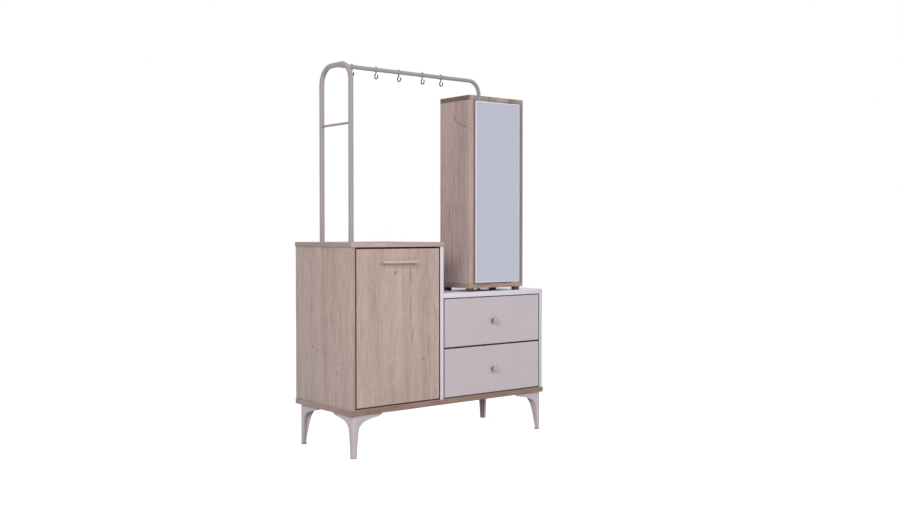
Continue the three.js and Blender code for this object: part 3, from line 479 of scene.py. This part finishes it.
def round_bar(radius, length, place, turn=(0.0, 0.0, 0.0), sides=20, ends="NGON"):
    """A round bar with its middle at this place."""
    bpy.ops.object.select_all(action="DESELECT")
    bpy.ops.mesh.primitive_cylinder_add(
        vertices=sides, radius=radius, depth=length, end_fill_type=ends, location=place, rotation=turn
    )
    bpy.ops.object.transform_apply(location=True, rotation=True, scale=True)
    return bpy.context.object


def join_up(parts):
    """Joins the pieces to the first of them."""
    bpy.ops.object.select_all(action="DESELECT")
    for part in parts:
        part.select_set(True)
    bpy.context.view_layer.objects.active = parts[0]
    if len(parts) > 1:
        bpy.ops.object.join()
    return parts[0]


handle_coat = powder_coat("handle_powder_coat", "#c0b2af", "#b7a9a6", 0.34)
low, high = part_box("flap_handle")
handle_middle = (low + high) / 2
bar_radius = (high.z - low.z) / 2
bar_place = (handle_middle.x, low.y + bar_radius, handle_middle.z)
handle = round_bar(bar_radius, high.x - low.x, bar_place, ALONG_X, 48)
handle.name = "dressed_handle"
ease_edges(60.0, 0.0014, 4)
post_length = high.y - low.y - bar_radius
posts = []
for direction in (-1, 1):
    place = (handle_middle.x + direction * POST_REACH, (high.y + low.y + bar_radius) / 2, handle_middle.z)
    post = round_bar(bar_radius * POST_SHARE, post_length, place, ALONG_Y, 40)
    # A shallow foot widens each post where it meets the leaf.
    pick_faces(post, lambda face: face.normal.y > 0.9)
    bpy.ops.transform.translate(value=(0.0, -FOOT_DEPTH, 0.0))
    bpy.ops.mesh.extrude_region_move(TRANSFORM_OT_translate={"value": (0.0, FOOT_STEP, 0.0)})
    bpy.ops.transform.resize(value=(FOOT_SHARE, 1.0, FOOT_SHARE))
    foot_run = (0.0, FOOT_DEPTH - FOOT_STEP, 0.0)
    bpy.ops.mesh.extrude_region_move(TRANSFORM_OT_translate={"value": foot_run})
    leave_edit()
    posts.append(post)
join_up([handle, *posts])
bpy.ops.object.shade_smooth_by_angle(angle=math.radians(35.0))
handle.data.materials.append(handle_coat)
stands_for(handle, "shoe_flap", "handle_paint", "flap_handle")


# The flap's inside: two moulded cheeks and two folded trays in pale polypropylene, screwed to
# the leaf, and the zinc-plated pivot pins on the cupboard's walls.
def moulded_plastic(name, base, shade, rough=0.5):
    """Moulded plastic: an even colour with the fine spark texture of the mould."""
    gloss = (rough - 0.06, rough + 0.08)
    return pressed_skin(name, base, shade, gloss, (9.0, 3.0), (0.8, 2.0), (0.2, 0.00015))


def plated_steel(name, base, rough):
    """Plated steel: a dull metal with fine rolling scratches 1.2 mm apart."""
    made, tree, shader = blank_material(name)
    place = add_node(tree, "TexCoord").outputs["Object"]
    drawn = add_node(tree, "Mapping", {"Vector": place, "Scale": (40.0, 1000.0 / 1.2, 1000.0 / 1.2)})
    scratch = add_node(tree, "TexNoise", {"Scale": 1.0, "Detail": 3.0, "Vector": drawn})
    gloss = {"Value": scratch, "To Min": rough - 0.08, "To Max": rough + 0.1}
    gloss = add_node(tree, "MapRange", gloss)
    tree.links.new(gloss.outputs[0], shader.inputs["Roughness"])
    shader.inputs["Base Color"].default_value = paint(base)
    shader.inputs["Metallic"].default_value = 1.0
    relief = add_node(tree, "Bump", {"Height": scratch, "Strength": 0.1, "Distance": 0.0001})
    tree.links.new(relief.outputs[0], shader.inputs["Normal"])
    return made


def dress_plain(nodes, coat, body, slot, **easing):
    """Pieces of one material all over, each in place of its CAD solid."""
    for node in nodes:
        part = eased_copy(node, **easing)
        part.data.materials.append(coat)
        stands_for(part, body, slot, node)


rack_plastic = moulded_plastic("rack_polypropylene", "#cfcac8", "#c3bebc")
zinc = plated_steel("zinc_plated_steel", "#b9b7b6", 0.34)
rack = ("left_cheek", "right_cheek", "lower_shoe_tray", "upper_shoe_tray")
dress_plain(rack, rack_plastic, "shoe_flap", "inner_plastic", arris=0.0009)
dress_plain(("left_flap_pivot", "right_flap_pivot"), zinc, "carcass", "pivot_steel", arris=0.0004)


def screw_head(radius, height, dome):
    """A screw's pan head with a round drive socket, standing on the origin and looking up."""
    head = round_bar(radius, height, (0.0, 0.0, height / 2))
    pick_faces(head, lambda face: face.normal.z > 0.9)
    bpy.ops.mesh.inset(thickness=radius * 0.3, depth=dome)
    bpy.ops.mesh.inset(thickness=radius * 0.28, depth=dome * 0.3)
    bpy.ops.mesh.extrude_region_move(TRANSFORM_OT_translate={"value": (0.0, 0.0, -height * 0.6)})
    leave_edit()
    bpy.ops.object.shade_smooth_by_angle(angle=math.radians(40.0))
    head.data.materials.append(zinc)
    return head


def set_down(pattern, name, places, turn):
    """Copies of one modelled piece, turned and set down at each place as one object."""
    twins = []
    for place in places:
        twin = bpy.data.objects.new(name, pattern.data.copy())
        bpy.context.scene.collection.objects.link(twin)
        twin.data.transform(Matrix.Translation(place) @ turn)
        twins.append(twin)
    return join_up(twins)


TO_BACK = Matrix.Rotation(-math.pi / 2, 4, "X")
TO_RIGHT = Matrix.Rotation(math.pi / 2, 4, "Y")
TO_LEFT = Matrix.Rotation(-math.pi / 2, 4, "Y")
DOWN = Matrix.Rotation(math.pi, 4, "X")
UP = Matrix.Identity(4)

# The handle's two screws come through the leaf from behind.
pan_head = screw_head(0.0042, 0.0016, 0.0006)
leaf_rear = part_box("flap_leaf")[1].y
places = [(handle_middle.x + shift, leaf_rear, handle_middle.z) for shift in (-POST_REACH, POST_REACH)]
screws = set_down(pan_head, "handle_screws", places, TO_BACK)
stands_for(screws, "shoe_flap", "pivot_steel")

# Four steel angles hold the cheeks to the leaf: a strip is bent square, and a screw goes
# through each of its legs.
ANGLE_LEG = 0.016
ANGLE_STRIP = 0.0018
ANGLE_WIDTH = 0.018
ANGLE_HEIGHTS = (0.335, 0.628)
left_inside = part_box("left_cheek")[1].x
right_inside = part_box("right_cheek")[0].x
walls = ((left_inside, 1), (right_inside, -1))
corners = [(x, inward, height) for x, inward in walls for height in ANGLE_HEIGHTS]
angles = []
for corner_x, inward, height in corners:
    bpy.ops.object.select_all(action="DESELECT")
    bpy.ops.mesh.primitive_cube_add(size=1.0, location=(0.0, 0.0, 0.0))
    angle = bpy.context.object
    bpy.ops.object.mode_set(mode="EDIT")
    bpy.ops.mesh.select_all(action="SELECT")
    bpy.ops.transform.resize(value=(ANGLE_STRIP, ANGLE_STRIP, ANGLE_WIDTH))
    middle = (corner_x + inward * ANGLE_STRIP / 2, leaf_rear + ANGLE_STRIP / 2, height)
    bpy.ops.transform.translate(value=middle)
    pick_faces(angle, lambda face: face.normal.x * inward > 0.9)
    bpy.ops.mesh.extrude_region_move(TRANSFORM_OT_translate={"value": (inward * ANGLE_LEG, 0.0, 0.0)})
    pick_faces(angle, lambda face: face.normal.y > 0.9 and abs(face.center.x - corner_x) < ANGLE_STRIP)
    bpy.ops.mesh.extrude_region_move(TRANSFORM_OT_translate={"value": (0.0, ANGLE_LEG, 0.0)})
    bpy.ops.mesh.select_all(action="SELECT")
    bpy.ops.mesh.normals_make_consistent(inside=False)
    ease_edges(30.0, 0.0004, 2, clamp=True)
    bpy.ops.object.transform_apply(location=True, rotation=True, scale=True)
    bpy.ops.object.shade_smooth_by_angle(angle=math.radians(32.0))
    angle.data.materials.append(zinc)
    angles.append(angle)
small_head = screw_head(0.003, 0.0009, 0.0004)
screw_reach = ANGLE_LEG * 0.62
for corner_x, inward, height in corners:
    on_leaf = (corner_x + inward * screw_reach, leaf_rear + ANGLE_STRIP, height)
    on_cheek = (corner_x + inward * ANGLE_STRIP, leaf_rear + screw_reach, height)
    angles.append(set_down(small_head, "angle_screw", [on_leaf], TO_BACK))
    angles.append(set_down(small_head, "angle_screw", [on_cheek], TO_RIGHT if inward > 0 else TO_LEFT))
brackets = join_up(angles)
brackets.name = "cheek_angles"
stands_for(brackets, "shoe_flap", "pivot_steel")


# The drawers: taupe melamine fronts, whose edges are painted near black as painted shade of the
# gaps, on white board boxes with a thin printed hardboard bottom, grooved to ride on moulded
# strips. A turned knob is screwed to the middle of each front from behind.
KNOB_OUTLINE = (
    (0.62, 0.0), (0.62, 0.09), (0.5, 0.14), (0.43, 0.24), (0.41, 0.36), (0.46, 0.48),
    (0.66, 0.57), (0.88, 0.63), (0.97, 0.69), (1.0, 0.77), (0.985, 0.86), (0.93, 0.93),
    (0.82, 0.975), (0.6, 0.99), (0.3, 0.998), (0.02, 1.0),
)


def two_coats(piece, coat, other_coat, wanted):
    """The wanted faces take the other coat."""
    piece.data.materials.append(coat)
    piece.data.materials.append(other_coat)
    for face in piece.data.polygons:
        face.material_index = 1 if wanted(face) else 0


def close_shell():
    """Fills the open rims of the piece in edit mode, turns its faces outward and leaves it smooth."""
    bpy.ops.mesh.select_all(action="DESELECT")
    bpy.ops.mesh.select_non_manifold()
    bpy.ops.mesh.fill_holes(sides=0)
    bpy.ops.mesh.select_all(action="SELECT")
    bpy.ops.mesh.normals_make_consistent(inside=False)
    bpy.ops.object.mode_set(mode="OBJECT")
    bpy.ops.object.transform_apply(location=True, rotation=True, scale=True)
    bpy.ops.object.shade_smooth_by_angle(angle=math.radians(40.0))


def turned_knob(name, middle, rear_y, radius, reach):
    """The knob's outline, given as shares of its radius and reach, spun about its own axis."""
    foot = (middle.x, rear_y, middle.z)
    bpy.ops.object.select_all(action="DESELECT")
    bpy.ops.mesh.primitive_plane_add(size=0.001, location=foot)
    knob = bpy.context.object
    knob.name = name
    bpy.ops.object.mode_set(mode="EDIT")
    bpy.ops.mesh.select_all(action="SELECT")
    bpy.ops.mesh.merge(type="CENTER")
    bpy.ops.transform.translate(value=(radius * KNOB_OUTLINE[0][0], 0.0, 0.0))
    for (ring, depth), (last_ring, last_depth) in zip(KNOB_OUTLINE[1:], KNOB_OUTLINE):
        step = ((ring - last_ring) * radius, (last_depth - depth) * reach, 0.0)
        bpy.ops.mesh.extrude_region_move(TRANSFORM_OT_translate={"value": step})
    bpy.ops.mesh.select_all(action="SELECT")
    bpy.ops.mesh.spin(steps=48, angle=math.tau, center=foot, axis=(0.0, 1.0, 0.0))
    bpy.ops.mesh.select_all(action="SELECT")
    bpy.ops.mesh.remove_doubles(threshold=0.00002)
    close_shell()
    return knob


taupe_skin = plain_melamine("taupe_melamine", "#bfb3b9", "#b8acb2", rough=0.4)
# Painted shade: the fronts' near-black edges stand in for the shade inside the gaps.
drawer_gap_shade_band = plain_melamine("drawer_gap_shade_edge_band", "#32272a", "#2a2022", rough=0.6, shine=0.06)
hardboard = plain_melamine("printed_hardboard", "#d2ccc9", "#c6c0bd", grain_mm=1.4, bump=0.3, rough=0.68)
runner_plastic = moulded_plastic("runner_nylon", "#d3cfcd", "#c8c4c2", rough=0.42)
knob_coat = powder_coat("knob_powder_coat", "#b0a3a7", "#a6999d", 0.32)
# Painted shade: the knob's neck is painted dark for the shade round it.
shaded_neck_coat = powder_coat("knob_neck_painted_shade", "#6a5e61", "#5f5457", 0.4)
SHADED_NECK_SHARE = 0.56
for level in ("lower", "upper"):
    body = f"{level}_drawer"
    front = eased_copy(f"{body}_front", arris=0.0003)
    skin_faces(front, (drawer_gap_shade_band, ()), (taupe_skin, ("-y",)), (white_skin, ("+y",)))
    show_shade_band(front, 0.0012, 0, 0)
    stands_for(front, body, "taupe_front", f"{body}_front")
    for wall, faces in (("left", UPRIGHT_FACES), ("right", UPRIGHT_FACES), ("rear", ("-y", "+y"))):
        dress_board(f"{body}_{wall}", body, "white_board", (white_band, ()), (white_skin, faces))
    dress_plain([f"{body}_bottom"], hardboard, body, "back_board", arris=0.0002, rounds=1)
    runners = (f"{level}_left_runner", f"{level}_right_runner")
    dress_plain(runners, runner_plastic, "carcass", "inner_plastic", arris=0.0012)
    low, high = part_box(f"{body}_knob")
    middle = (low + high) / 2
    reach = high.y - low.y
    knob = turned_knob(f"dressed_{level}_knob", middle, high.y, (high.x - low.x) / 2, reach)
    two_coats(knob, knob_coat, shaded_neck_coat, lambda face: face.center.y > high.y - SHADED_NECK_SHARE * reach)
    stands_for(knob, body, "handle_paint", f"{body}_knob")
    front_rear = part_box(f"{body}_front")[1].y
    screw = set_down(pan_head, f"{level}_knob_screw", [(middle.x, front_rear, middle.z)], TO_BACK)
    stands_for(screw, body, "pivot_steel")


# The legs: moulded in pale grey ABS as hollow corner brackets with two flared wings, and
# screwed up into the bottom board. A thin dark pad is stuck under each foot.
PAD = 0.0025
SCREW_SHARES = ((0.72, 0.18), (0.18, 0.72), (0.46, 0.3))
SCREW_PLATE = 0.004
leg_plastic = moulded_plastic("leg_abs", "#c0b4bc", "#b5a9b1", rough=0.4)
pad_rubber = moulded_plastic("pad_rubber", "#5c5558", "#504a4c", rough=0.7)
for node, right, back in (
    ("leg_front_left", 1, 1),
    ("leg_front_right", -1, 1),
    ("leg_rear_left", 1, -1),
    ("leg_rear_right", -1, -1),
):
    leg = eased_copy(node, arris=0.0008)
    bpy.ops.object.mode_set(mode="EDIT")
    bpy.ops.mesh.select_all(action="SELECT")
    bpy.ops.mesh.bisect(plane_co=(0.0, 0.0, PAD), plane_no=(0.0, 0.0, 1.0))
    bpy.ops.object.mode_set(mode="OBJECT")
    two_coats(leg, leg_plastic, pad_rubber, lambda face: face.center.z < PAD)
    stands_for(leg, "carcass", "leg_plastic", node)
    low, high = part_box(node)
    reach = high.x - low.x
    corner_x = low.x if right > 0 else high.x
    corner_y = low.y if back > 0 else high.y
    places = []
    for shares in SCREW_SHARES:
        # Two of the legs are mirror images of the other two.
        over, away = shares if right * back > 0 else reversed(shares)
        place = (corner_x + right * over * reach, corner_y + back * away * reach, high.z - SCREW_PLATE)
        places.append(place)
    screws = set_down(pan_head, node.replace("leg", "leg_screws"), places, DOWN)
    stands_for(screws, "carcass", "pivot_steel")
bpy.data.objects.remove(pan_head)


# The coat frame: bent steel tube, 18 mm across in the upside-down U and 15 mm in the rail, with
# a thin cross bar welded in, all powder-coated in the legs' pale grey. The rail meets the U in a
# saddle, and a fine bead of weld runs round each joint.
FRAME_RADIUS = 0.009
FRAME_BEND = 0.062
RAIL_RADIUS = 0.0075
RAIL_BEND = 0.05
BEND_STEPS = 14
BEAD_RADIUS = 0.0011
BEAD_INSET = 0.0006
RUNG_SUNK = 0.002


def bent_tube(name, radius, start, turn, runs, sides):
    """A tube drawn from a ring: each run is a straight way, or a bend given by its centre,
    its axis, its angle and its steps."""
    bpy.ops.object.select_all(action="DESELECT")
    bpy.ops.mesh.primitive_circle_add(
        vertices=sides, radius=radius, fill_type="NOTHING", location=start, rotation=turn
    )
    tube = bpy.context.object
    tube.name = name
    bpy.ops.object.mode_set(mode="EDIT")
    bpy.ops.mesh.select_all(action="SELECT")
    for run in runs:
        if len(run) == 3:
            bpy.ops.mesh.extrude_region_move(TRANSFORM_OT_translate={"value": run})
        else:
            centre, axis, degrees, steps = run
            bpy.ops.mesh.spin(steps=steps, angle=math.radians(degrees), center=centre, axis=axis)
    close_shell()
    return tube


tube_coat = powder_coat("tube_powder_coat", "#a0969e", "#978d95", 0.36)
low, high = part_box("side_frame_tube")
frame_x = (low.x + high.x) / 2
flat_radius = (high.x - low.x) / 2
front_y = low.y + flat_radius
rear_y = high.y - flat_radius
bend_z = high.z - flat_radius - FRAME_BEND
frame_tube = bent_tube(
    "dressed_side_frame_tube",
    FRAME_RADIUS,
    (frame_x, front_y, low.z),
    (0.0, 0.0, 0.0),
    (
        (0.0, 0.0, bend_z - low.z),
        ((frame_x, front_y + FRAME_BEND, bend_z), (1.0, 0.0, 0.0), 90.0, BEND_STEPS),
        (0.0, rear_y - front_y - 2 * FRAME_BEND, 0.0),
        ((frame_x, rear_y - FRAME_BEND, bend_z), (1.0, 0.0, 0.0), 90.0, BEND_STEPS),
        (0.0, 0.0, low.z - bend_z),
    ),
    32,
)
frame_tube.data.materials.append(tube_coat)
stands_for(frame_tube, "carcass", "tube_paint", "side_frame_tube")

low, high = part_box("coat_rail_tube")
rail_y = (low.y + high.y) / 2
flat_radius = (high.y - low.y) / 2
rail_z = high.z - flat_radius
bend_x = high.x - flat_radius - RAIL_BEND
start_x = frame_x + FRAME_RADIUS * 0.7
rail_tube = bent_tube(
    "dressed_coat_rail_tube",
    RAIL_RADIUS,
    (start_x, rail_y, rail_z),
    ALONG_X,
    (
        (bend_x - start_x, 0.0, 0.0),
        ((bend_x, rail_y, rail_z - RAIL_BEND), (0.0, 1.0, 0.0), -90.0, BEND_STEPS),
        (0.0, 0.0, low.z - rail_z + RAIL_BEND),
    ),
    28,
)
rail_tube.data.materials.append(tube_coat)
stands_for(rail_tube, "carcass", "tube_paint", "coat_rail_tube")

# The cross bar's ends are sunk in the U's tube on both sides, and a bead of weld hides each.
low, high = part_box("side_frame_rung")
rung_radius = (high.z - low.z) / 2
rung_z = (low.z + high.z) / 2
rung_start = (frame_x, low.y - RUNG_SUNK, rung_z)
rung_run = (0.0, high.y - low.y + 2 * RUNG_SUNK, 0.0)
rung = bent_tube("dressed_side_frame_rung", rung_radius, rung_start, ALONG_Y, (rung_run,), 20)
welded = [rung]
for place, turn, ring_radius in (
    ((frame_x, low.y + BEAD_INSET, rung_z), ALONG_Y, rung_radius),
    ((frame_x, high.y - BEAD_INSET, rung_z), ALONG_Y, rung_radius),
    ((frame_x + FRAME_RADIUS * 0.72, rail_y, rail_z), ALONG_X, RAIL_RADIUS),
):
    bpy.ops.object.select_all(action="DESELECT")
    bpy.ops.mesh.primitive_torus_add(
        major_radius=ring_radius,
        minor_radius=BEAD_RADIUS,
        major_segments=28,
        minor_segments=8,
        location=place,
        rotation=turn,
    )
    bpy.ops.object.transform_apply(location=True, rotation=True, scale=True)
    bpy.ops.object.shade_smooth()
    welded.append(bpy.context.object)
join_up(welded)
rung.data.materials.append(tube_coat)
stands_for(rung, "carcass", "tube_paint", "side_frame_rung")


# The hooks: a thin collar turns on the rail in the rail's own paint, with a rivet above. Below
# it a dark nickel wire drops from a small boss, steps back and curls forward into an open J.
COLLAR_LENGTH = 0.007
COLLAR_OUTER = 0.0092
COLLAR_WALL = 0.0014
BOSS_RADIUS = 0.0022
BOSS_REACH = 0.0117
WIRE_RADIUS = 0.0021
dark_nickel = plated_steel("dark_nickel_wire", "#403a38", 0.36)
low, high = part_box("hook_1")
hook_x = (low.x + high.x) / 2
collar = round_bar(COLLAR_OUTER, COLLAR_LENGTH, (hook_x, rail_y, rail_z), ALONG_X, 40, "NOTHING")
wall = collar.modifiers.new("wall", "SOLIDIFY")
wall.thickness = COLLAR_WALL
wall.offset = -1.0
bpy.ops.object.modifier_apply(modifier="wall")
ease_edges(60.0, 0.0004, 2)
hook_parts = [collar]
boss_start = COLLAR_OUTER - COLLAR_WALL / 2
for direction in (-1, 1):
    boss_z = rail_z + direction * (BOSS_REACH + boss_start) / 2
    boss = round_bar(BOSS_RADIUS, BOSS_REACH - boss_start, (hook_x, rail_y, boss_z))
    ease_edges(60.0, 0.0007, 3)
    hook_parts.append(boss)
for part in hook_parts:
    two_coats(part, tube_coat, dark_nickel, lambda face: False)
# The wire's bends are measured from the rail's axis.
wire = bent_tube(
    "hook_wire",
    WIRE_RADIUS,
    (hook_x, rail_y, rail_z - 0.0095),
    (math.pi, 0.0, 0.0),
    (
        (0.0, 0.0, -0.001),
        ((hook_x, rail_y + 0.00824, rail_z - 0.0105), (1.0, 0.0, 0.0), -58.2, 6),
        ((hook_x, rail_y - 0.00044, rail_z - 0.0245), (1.0, 0.0, 0.0), 58.2, 6),
        ((hook_x, rail_y - 0.0015, rail_z - 0.0245), (1.0, 0.0, 0.0), 200.0, 20),
        (0.0, 0.0002, 0.0006),
    ),
    12,
)
two_coats(wire, tube_coat, dark_nickel, lambda face: True)
join_up([*hook_parts, wire])
bpy.ops.object.shade_smooth_by_angle(angle=math.radians(40.0))
collar.name = "dressed_hook_1"
stands_for(collar, "coat_hook_1", "hook_metal", "hook_1")
for number in range(2, 6):
    low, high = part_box(f"hook_{number}")
    twin = bpy.data.objects.new(f"dressed_hook_{number}", collar.data.copy())
    bpy.context.scene.collection.objects.link(twin)
    twin.data.transform(Matrix.Translation(((low.x + high.x) / 2 - hook_x, 0.0, 0.0)))
    stands_for(twin, f"coat_hook_{number}", "hook_metal", f"hook_{number}")


# The mirror tower's boards: the oak print again, with the top and bottom laid over the sides.
# The right side's edges are painted darker as painted shade, and the ends of the top are darker.
tower_side_skin = oak_melamine(
    "oak_melamine_tower",
    "Z",
    (6.6, 3.1, 4.0),
    "#bfa9a2",
    "#ae9892",
    "#927a73",
    marks=(
        (0.0032, 1.1973, 0.0045, 0.011, 0.0, 0.8),
        (-0.0555, 1.1645, 0.013, 0.0042, 8.0, 0.8),
        (-0.004, 1.189, 0.0032, 0.013, -44.0, 0.5),
        (-0.0215, 1.1775, 0.0032, 0.015, -62.0, 0.5),
        (-0.044, 1.1695, 0.0032, 0.017, -77.0, 0.55),
        (0.02, 0.7, 0.006, 0.07, 1.0, 0.45),
        (0.035, 0.83, 0.003, 0.06, -1.0, 0.3),
        (-0.03, 0.66, 0.005, 0.05, 0.0, 0.3),
    ),
    pores=0.45,
)
tower_band = oak_melamine("oak_edge_band_tower", "Z", (3.7, 6.1, 3.0), "#b6a197", "#a7928b", "#917d76")
# Painted shade: the right side's edges are darker for the shade they stand in.
tower_right_shade_band = oak_melamine(
    "oak_band_tower_right_painted_shade", "Z", (2.2, 5.3, 1.0), "#928381", "#857674", "#71625f"
)
tower_top_band = oak_melamine(
    "oak_edge_band_tower_top", "Z", (8.3, 4.2, 1.0), "#a6948d", "#93827d", "#6f605e", pores=0.5, spread=0.08
)
tower_low_band = oak_melamine(
    "oak_edge_band_tower_low", "X", (7.3, 5.2, 1.0), "#b8a08f", "#a18b80", "#80695f", pores=0.5, spread=0.08
)
tower_foot_band = oak_melamine(
    "oak_edge_band_tower_foot", "Y", (1.3, 6.2, 3.0), "#ae9889", "#98837a", "#7a655c", pores=0.5
)
tower_end_band = oak_melamine(
    "oak_edge_band_tower_end", "Y", (5.5, 7.7, 2.0), "#7c6461", "#6b5452", "#574240"
)
side_faces = (tower_side_skin, UPRIGHT_FACES)
flat_faces = (oak_flat_skin, LEVEL_FACES)
for node, band, *others in (
    ("tower_left_side", tower_band, side_faces),
    ("tower_right_side", tower_right_shade_band, side_faces),
    ("tower_top", tower_top_band, flat_faces, (tower_end_band, UPRIGHT_FACES)),
    ("tower_bottom", tower_low_band, flat_faces, (tower_foot_band, UPRIGHT_FACES)),
    ("tower_shelf_lower", tower_band, flat_faces),
    ("tower_shelf_upper", tower_band, flat_faces),
):
    dress_board(node, "carcass", "oak_board", (band, ()), *others)

# Each shelf lies on four nickel-plated pins that are pushed into the tower's sides.
PIN_RADIUS = 0.0025
PIN_REACH = 0.008
PIN_SETBACK = 0.018
inner_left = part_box("tower_left_side")[1].x
inner_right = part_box("tower_right_side")[0].x
pin = round_bar(PIN_RADIUS, PIN_REACH, (0.0, 0.0, PIN_REACH / 2))
ease_edges(60.0, 0.0006, 2)
bpy.ops.object.shade_smooth_by_angle(angle=math.radians(40.0))
pin.data.materials.append(zinc)
for level in ("lower", "upper"):
    low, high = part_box(f"tower_shelf_{level}")
    depths = (low.y + PIN_SETBACK, high.y - PIN_SETBACK)
    for side, wall_x, turn in (("left", inner_left, TO_RIGHT), ("right", inner_right, TO_LEFT)):
        places = [(wall_x, depth, low.z - PIN_RADIUS) for depth in depths]
        pins = set_down(pin, f"{level}_shelf_pins_{side}", places, turn)
        stands_for(pins, "carcass", "pivot_steel")
bpy.data.objects.remove(pin)


# The mirror door: a white board leaf whose edges are painted dark, and brown at the left, as
# painted shade, with a 4 mm float-glass mirror bonded over its whole front. The glass has a broad
# flat bevel, ground matt, and a polished edge.
BEVEL_WIDTH = 0.005
BEVEL_DEPTH = 0.0011
door_leaf = eased_copy("mirror_door_leaf", arris=0.0003)
# Painted shade: the leaf's dark and brown edges stand in for the shade beside the glass.
mirror_leaf_left_shade_band = plain_melamine("mirror_leaf_left_shade_edge_band", "#8b7466", "#7e685b", rough=0.55, shine=0.2)
skin_faces(door_leaf, (gap_shade_band, ()), (mirror_leaf_left_shade_band, ("-x",)), (white_skin, ("+y", "-y")))
stands_for(door_leaf, "mirror_door", "white_board", "mirror_door_leaf")

silvered, tree, shader = blank_material("silvered_float_glass")
# Painted reflection: the mirror's grey-blue tint stands in for the grey studio it reflects.
shader.inputs["Base Color"].default_value = paint("#bcbecd")
shader.inputs["Metallic"].default_value = 1.0
place = add_node(tree, "TexCoord").outputs["Object"]
film = add_node(tree, "TexNoise", {"Scale": 5.0, "Detail": 3.0, "Vector": place})
haze = add_node(tree, "MapRange", {"Value": film, "To Min": 0.02, "To Max": 0.06})
tree.links.new(haze.outputs[0], shader.inputs["Roughness"])
ground = plain_melamine("ground_glass_bevel", "#c9c8d2", "#c3c2cd", grain_mm=0.5, bump=0.1, rough=0.3)
mirror = eased_copy("mirror_glass", arris=0.0)
pick_faces(mirror, lambda face: face.normal.y < -0.9)
bpy.ops.transform.translate(value=(0.0, BEVEL_DEPTH, 0.0))
bpy.ops.mesh.inset(thickness=BEVEL_WIDTH, depth=BEVEL_DEPTH)
leave_edit()
two_coats(mirror, silvered, ground, lambda face: face.normal.y >= -0.995)
stands_for(mirror, "mirror_door", "mirror_face", "mirror_glass")


# The mirror door's pivots are bent zinc-plated plates with a pin, each held by two sunk screws.
# The tower stands on four round glides, painted dark brown as painted shade under the tower.
PLATE_STRIP = 0.0015
HEAD_SUNK = 0.0011
SCREW_SETBACKS = (0.006, 0.016)
# Painted shade: the glides are darker than their grey-brown plastic, for the shade under the tower.
glide_shade_plastic = moulded_plastic("glide_shade_plastic", "#5a433d", "#4c3833", rough=0.6)
for node, turn in (("upper_pivot_plate", DOWN), ("lower_pivot_plate", UP)):
    dress_plain([node], zinc, "carcass", "pivot_steel", arris=0.0003)
    low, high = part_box(node)
    seat_z = low.z + PLATE_STRIP - HEAD_SUNK if turn is UP else high.z - PLATE_STRIP + HEAD_SUNK
    places = [((low.x + high.x) / 2, high.y - setback, seat_z) for setback in SCREW_SETBACKS]
    screws = set_down(small_head, node.replace("plate", "screws"), places, turn)
    stands_for(screws, "carcass", "pivot_steel")
bpy.data.objects.remove(small_head)
glides = ("glide_front_left", "glide_front_right", "glide_rear_left", "glide_rear_right")
dress_plain(glides, glide_shade_plastic, "carcass", "glide_rubber", arris=0.0012, sharp=60.0)


# The thin backs: 3 mm hardboard with a pale printed face, held in the boards' rebates by small
# round-headed nails about 110 mm apart.
BACKS = ("cabinet_back_panel", "drawer_unit_back_panel", "tower_back")
NAIL_PITCH = 0.11
NAIL_INSET = 0.003
NAIL_RADIUS = 0.0016
NAIL_RIM = 0.0003
NAIL_STEP = 0.0006


def nail_places(low, high):
    """Even places along a board from one end's inset to the other's, about a pitch apart."""
    gaps = max(1, round((high - low) / NAIL_PITCH))
    return [low + NAIL_INSET + (high - low - 2 * NAIL_INSET) * count / gaps for count in range(gaps + 1)]


dress_plain(BACKS, hardboard, "carcass", "back_board", arris=0.0003, rounds=1)
# A nail's head is a low dome in two steps.
nail = round_bar(NAIL_RADIUS, NAIL_RIM, (0.0, 0.0, NAIL_RIM / 2), sides=14)
pick_faces(nail, lambda face: face.normal.z > 0.9)
bpy.ops.mesh.inset(thickness=NAIL_STEP, depth=0.0003)
bpy.ops.mesh.inset(thickness=NAIL_STEP, depth=0.0001)
leave_edit()
bpy.ops.object.shade_smooth_by_angle(angle=math.radians(50.0))
nail.data.materials.append(zinc)
for node in BACKS:
    low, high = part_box(node)
    columns = nail_places(low.x, high.x)
    rows = nail_places(low.z, high.z)
    places = [(x, high.y, z) for x in columns for z in (rows[0], rows[-1])]
    places += [(x, high.y, z) for z in rows[1:-1] for x in (columns[0], columns[-1])]
    nails = set_down(nail, node.removesuffix("_panel") + "_nails", places, TO_BACK)
    stands_for(nails, "carcass", "pivot_steel")
bpy.data.objects.remove(nail)
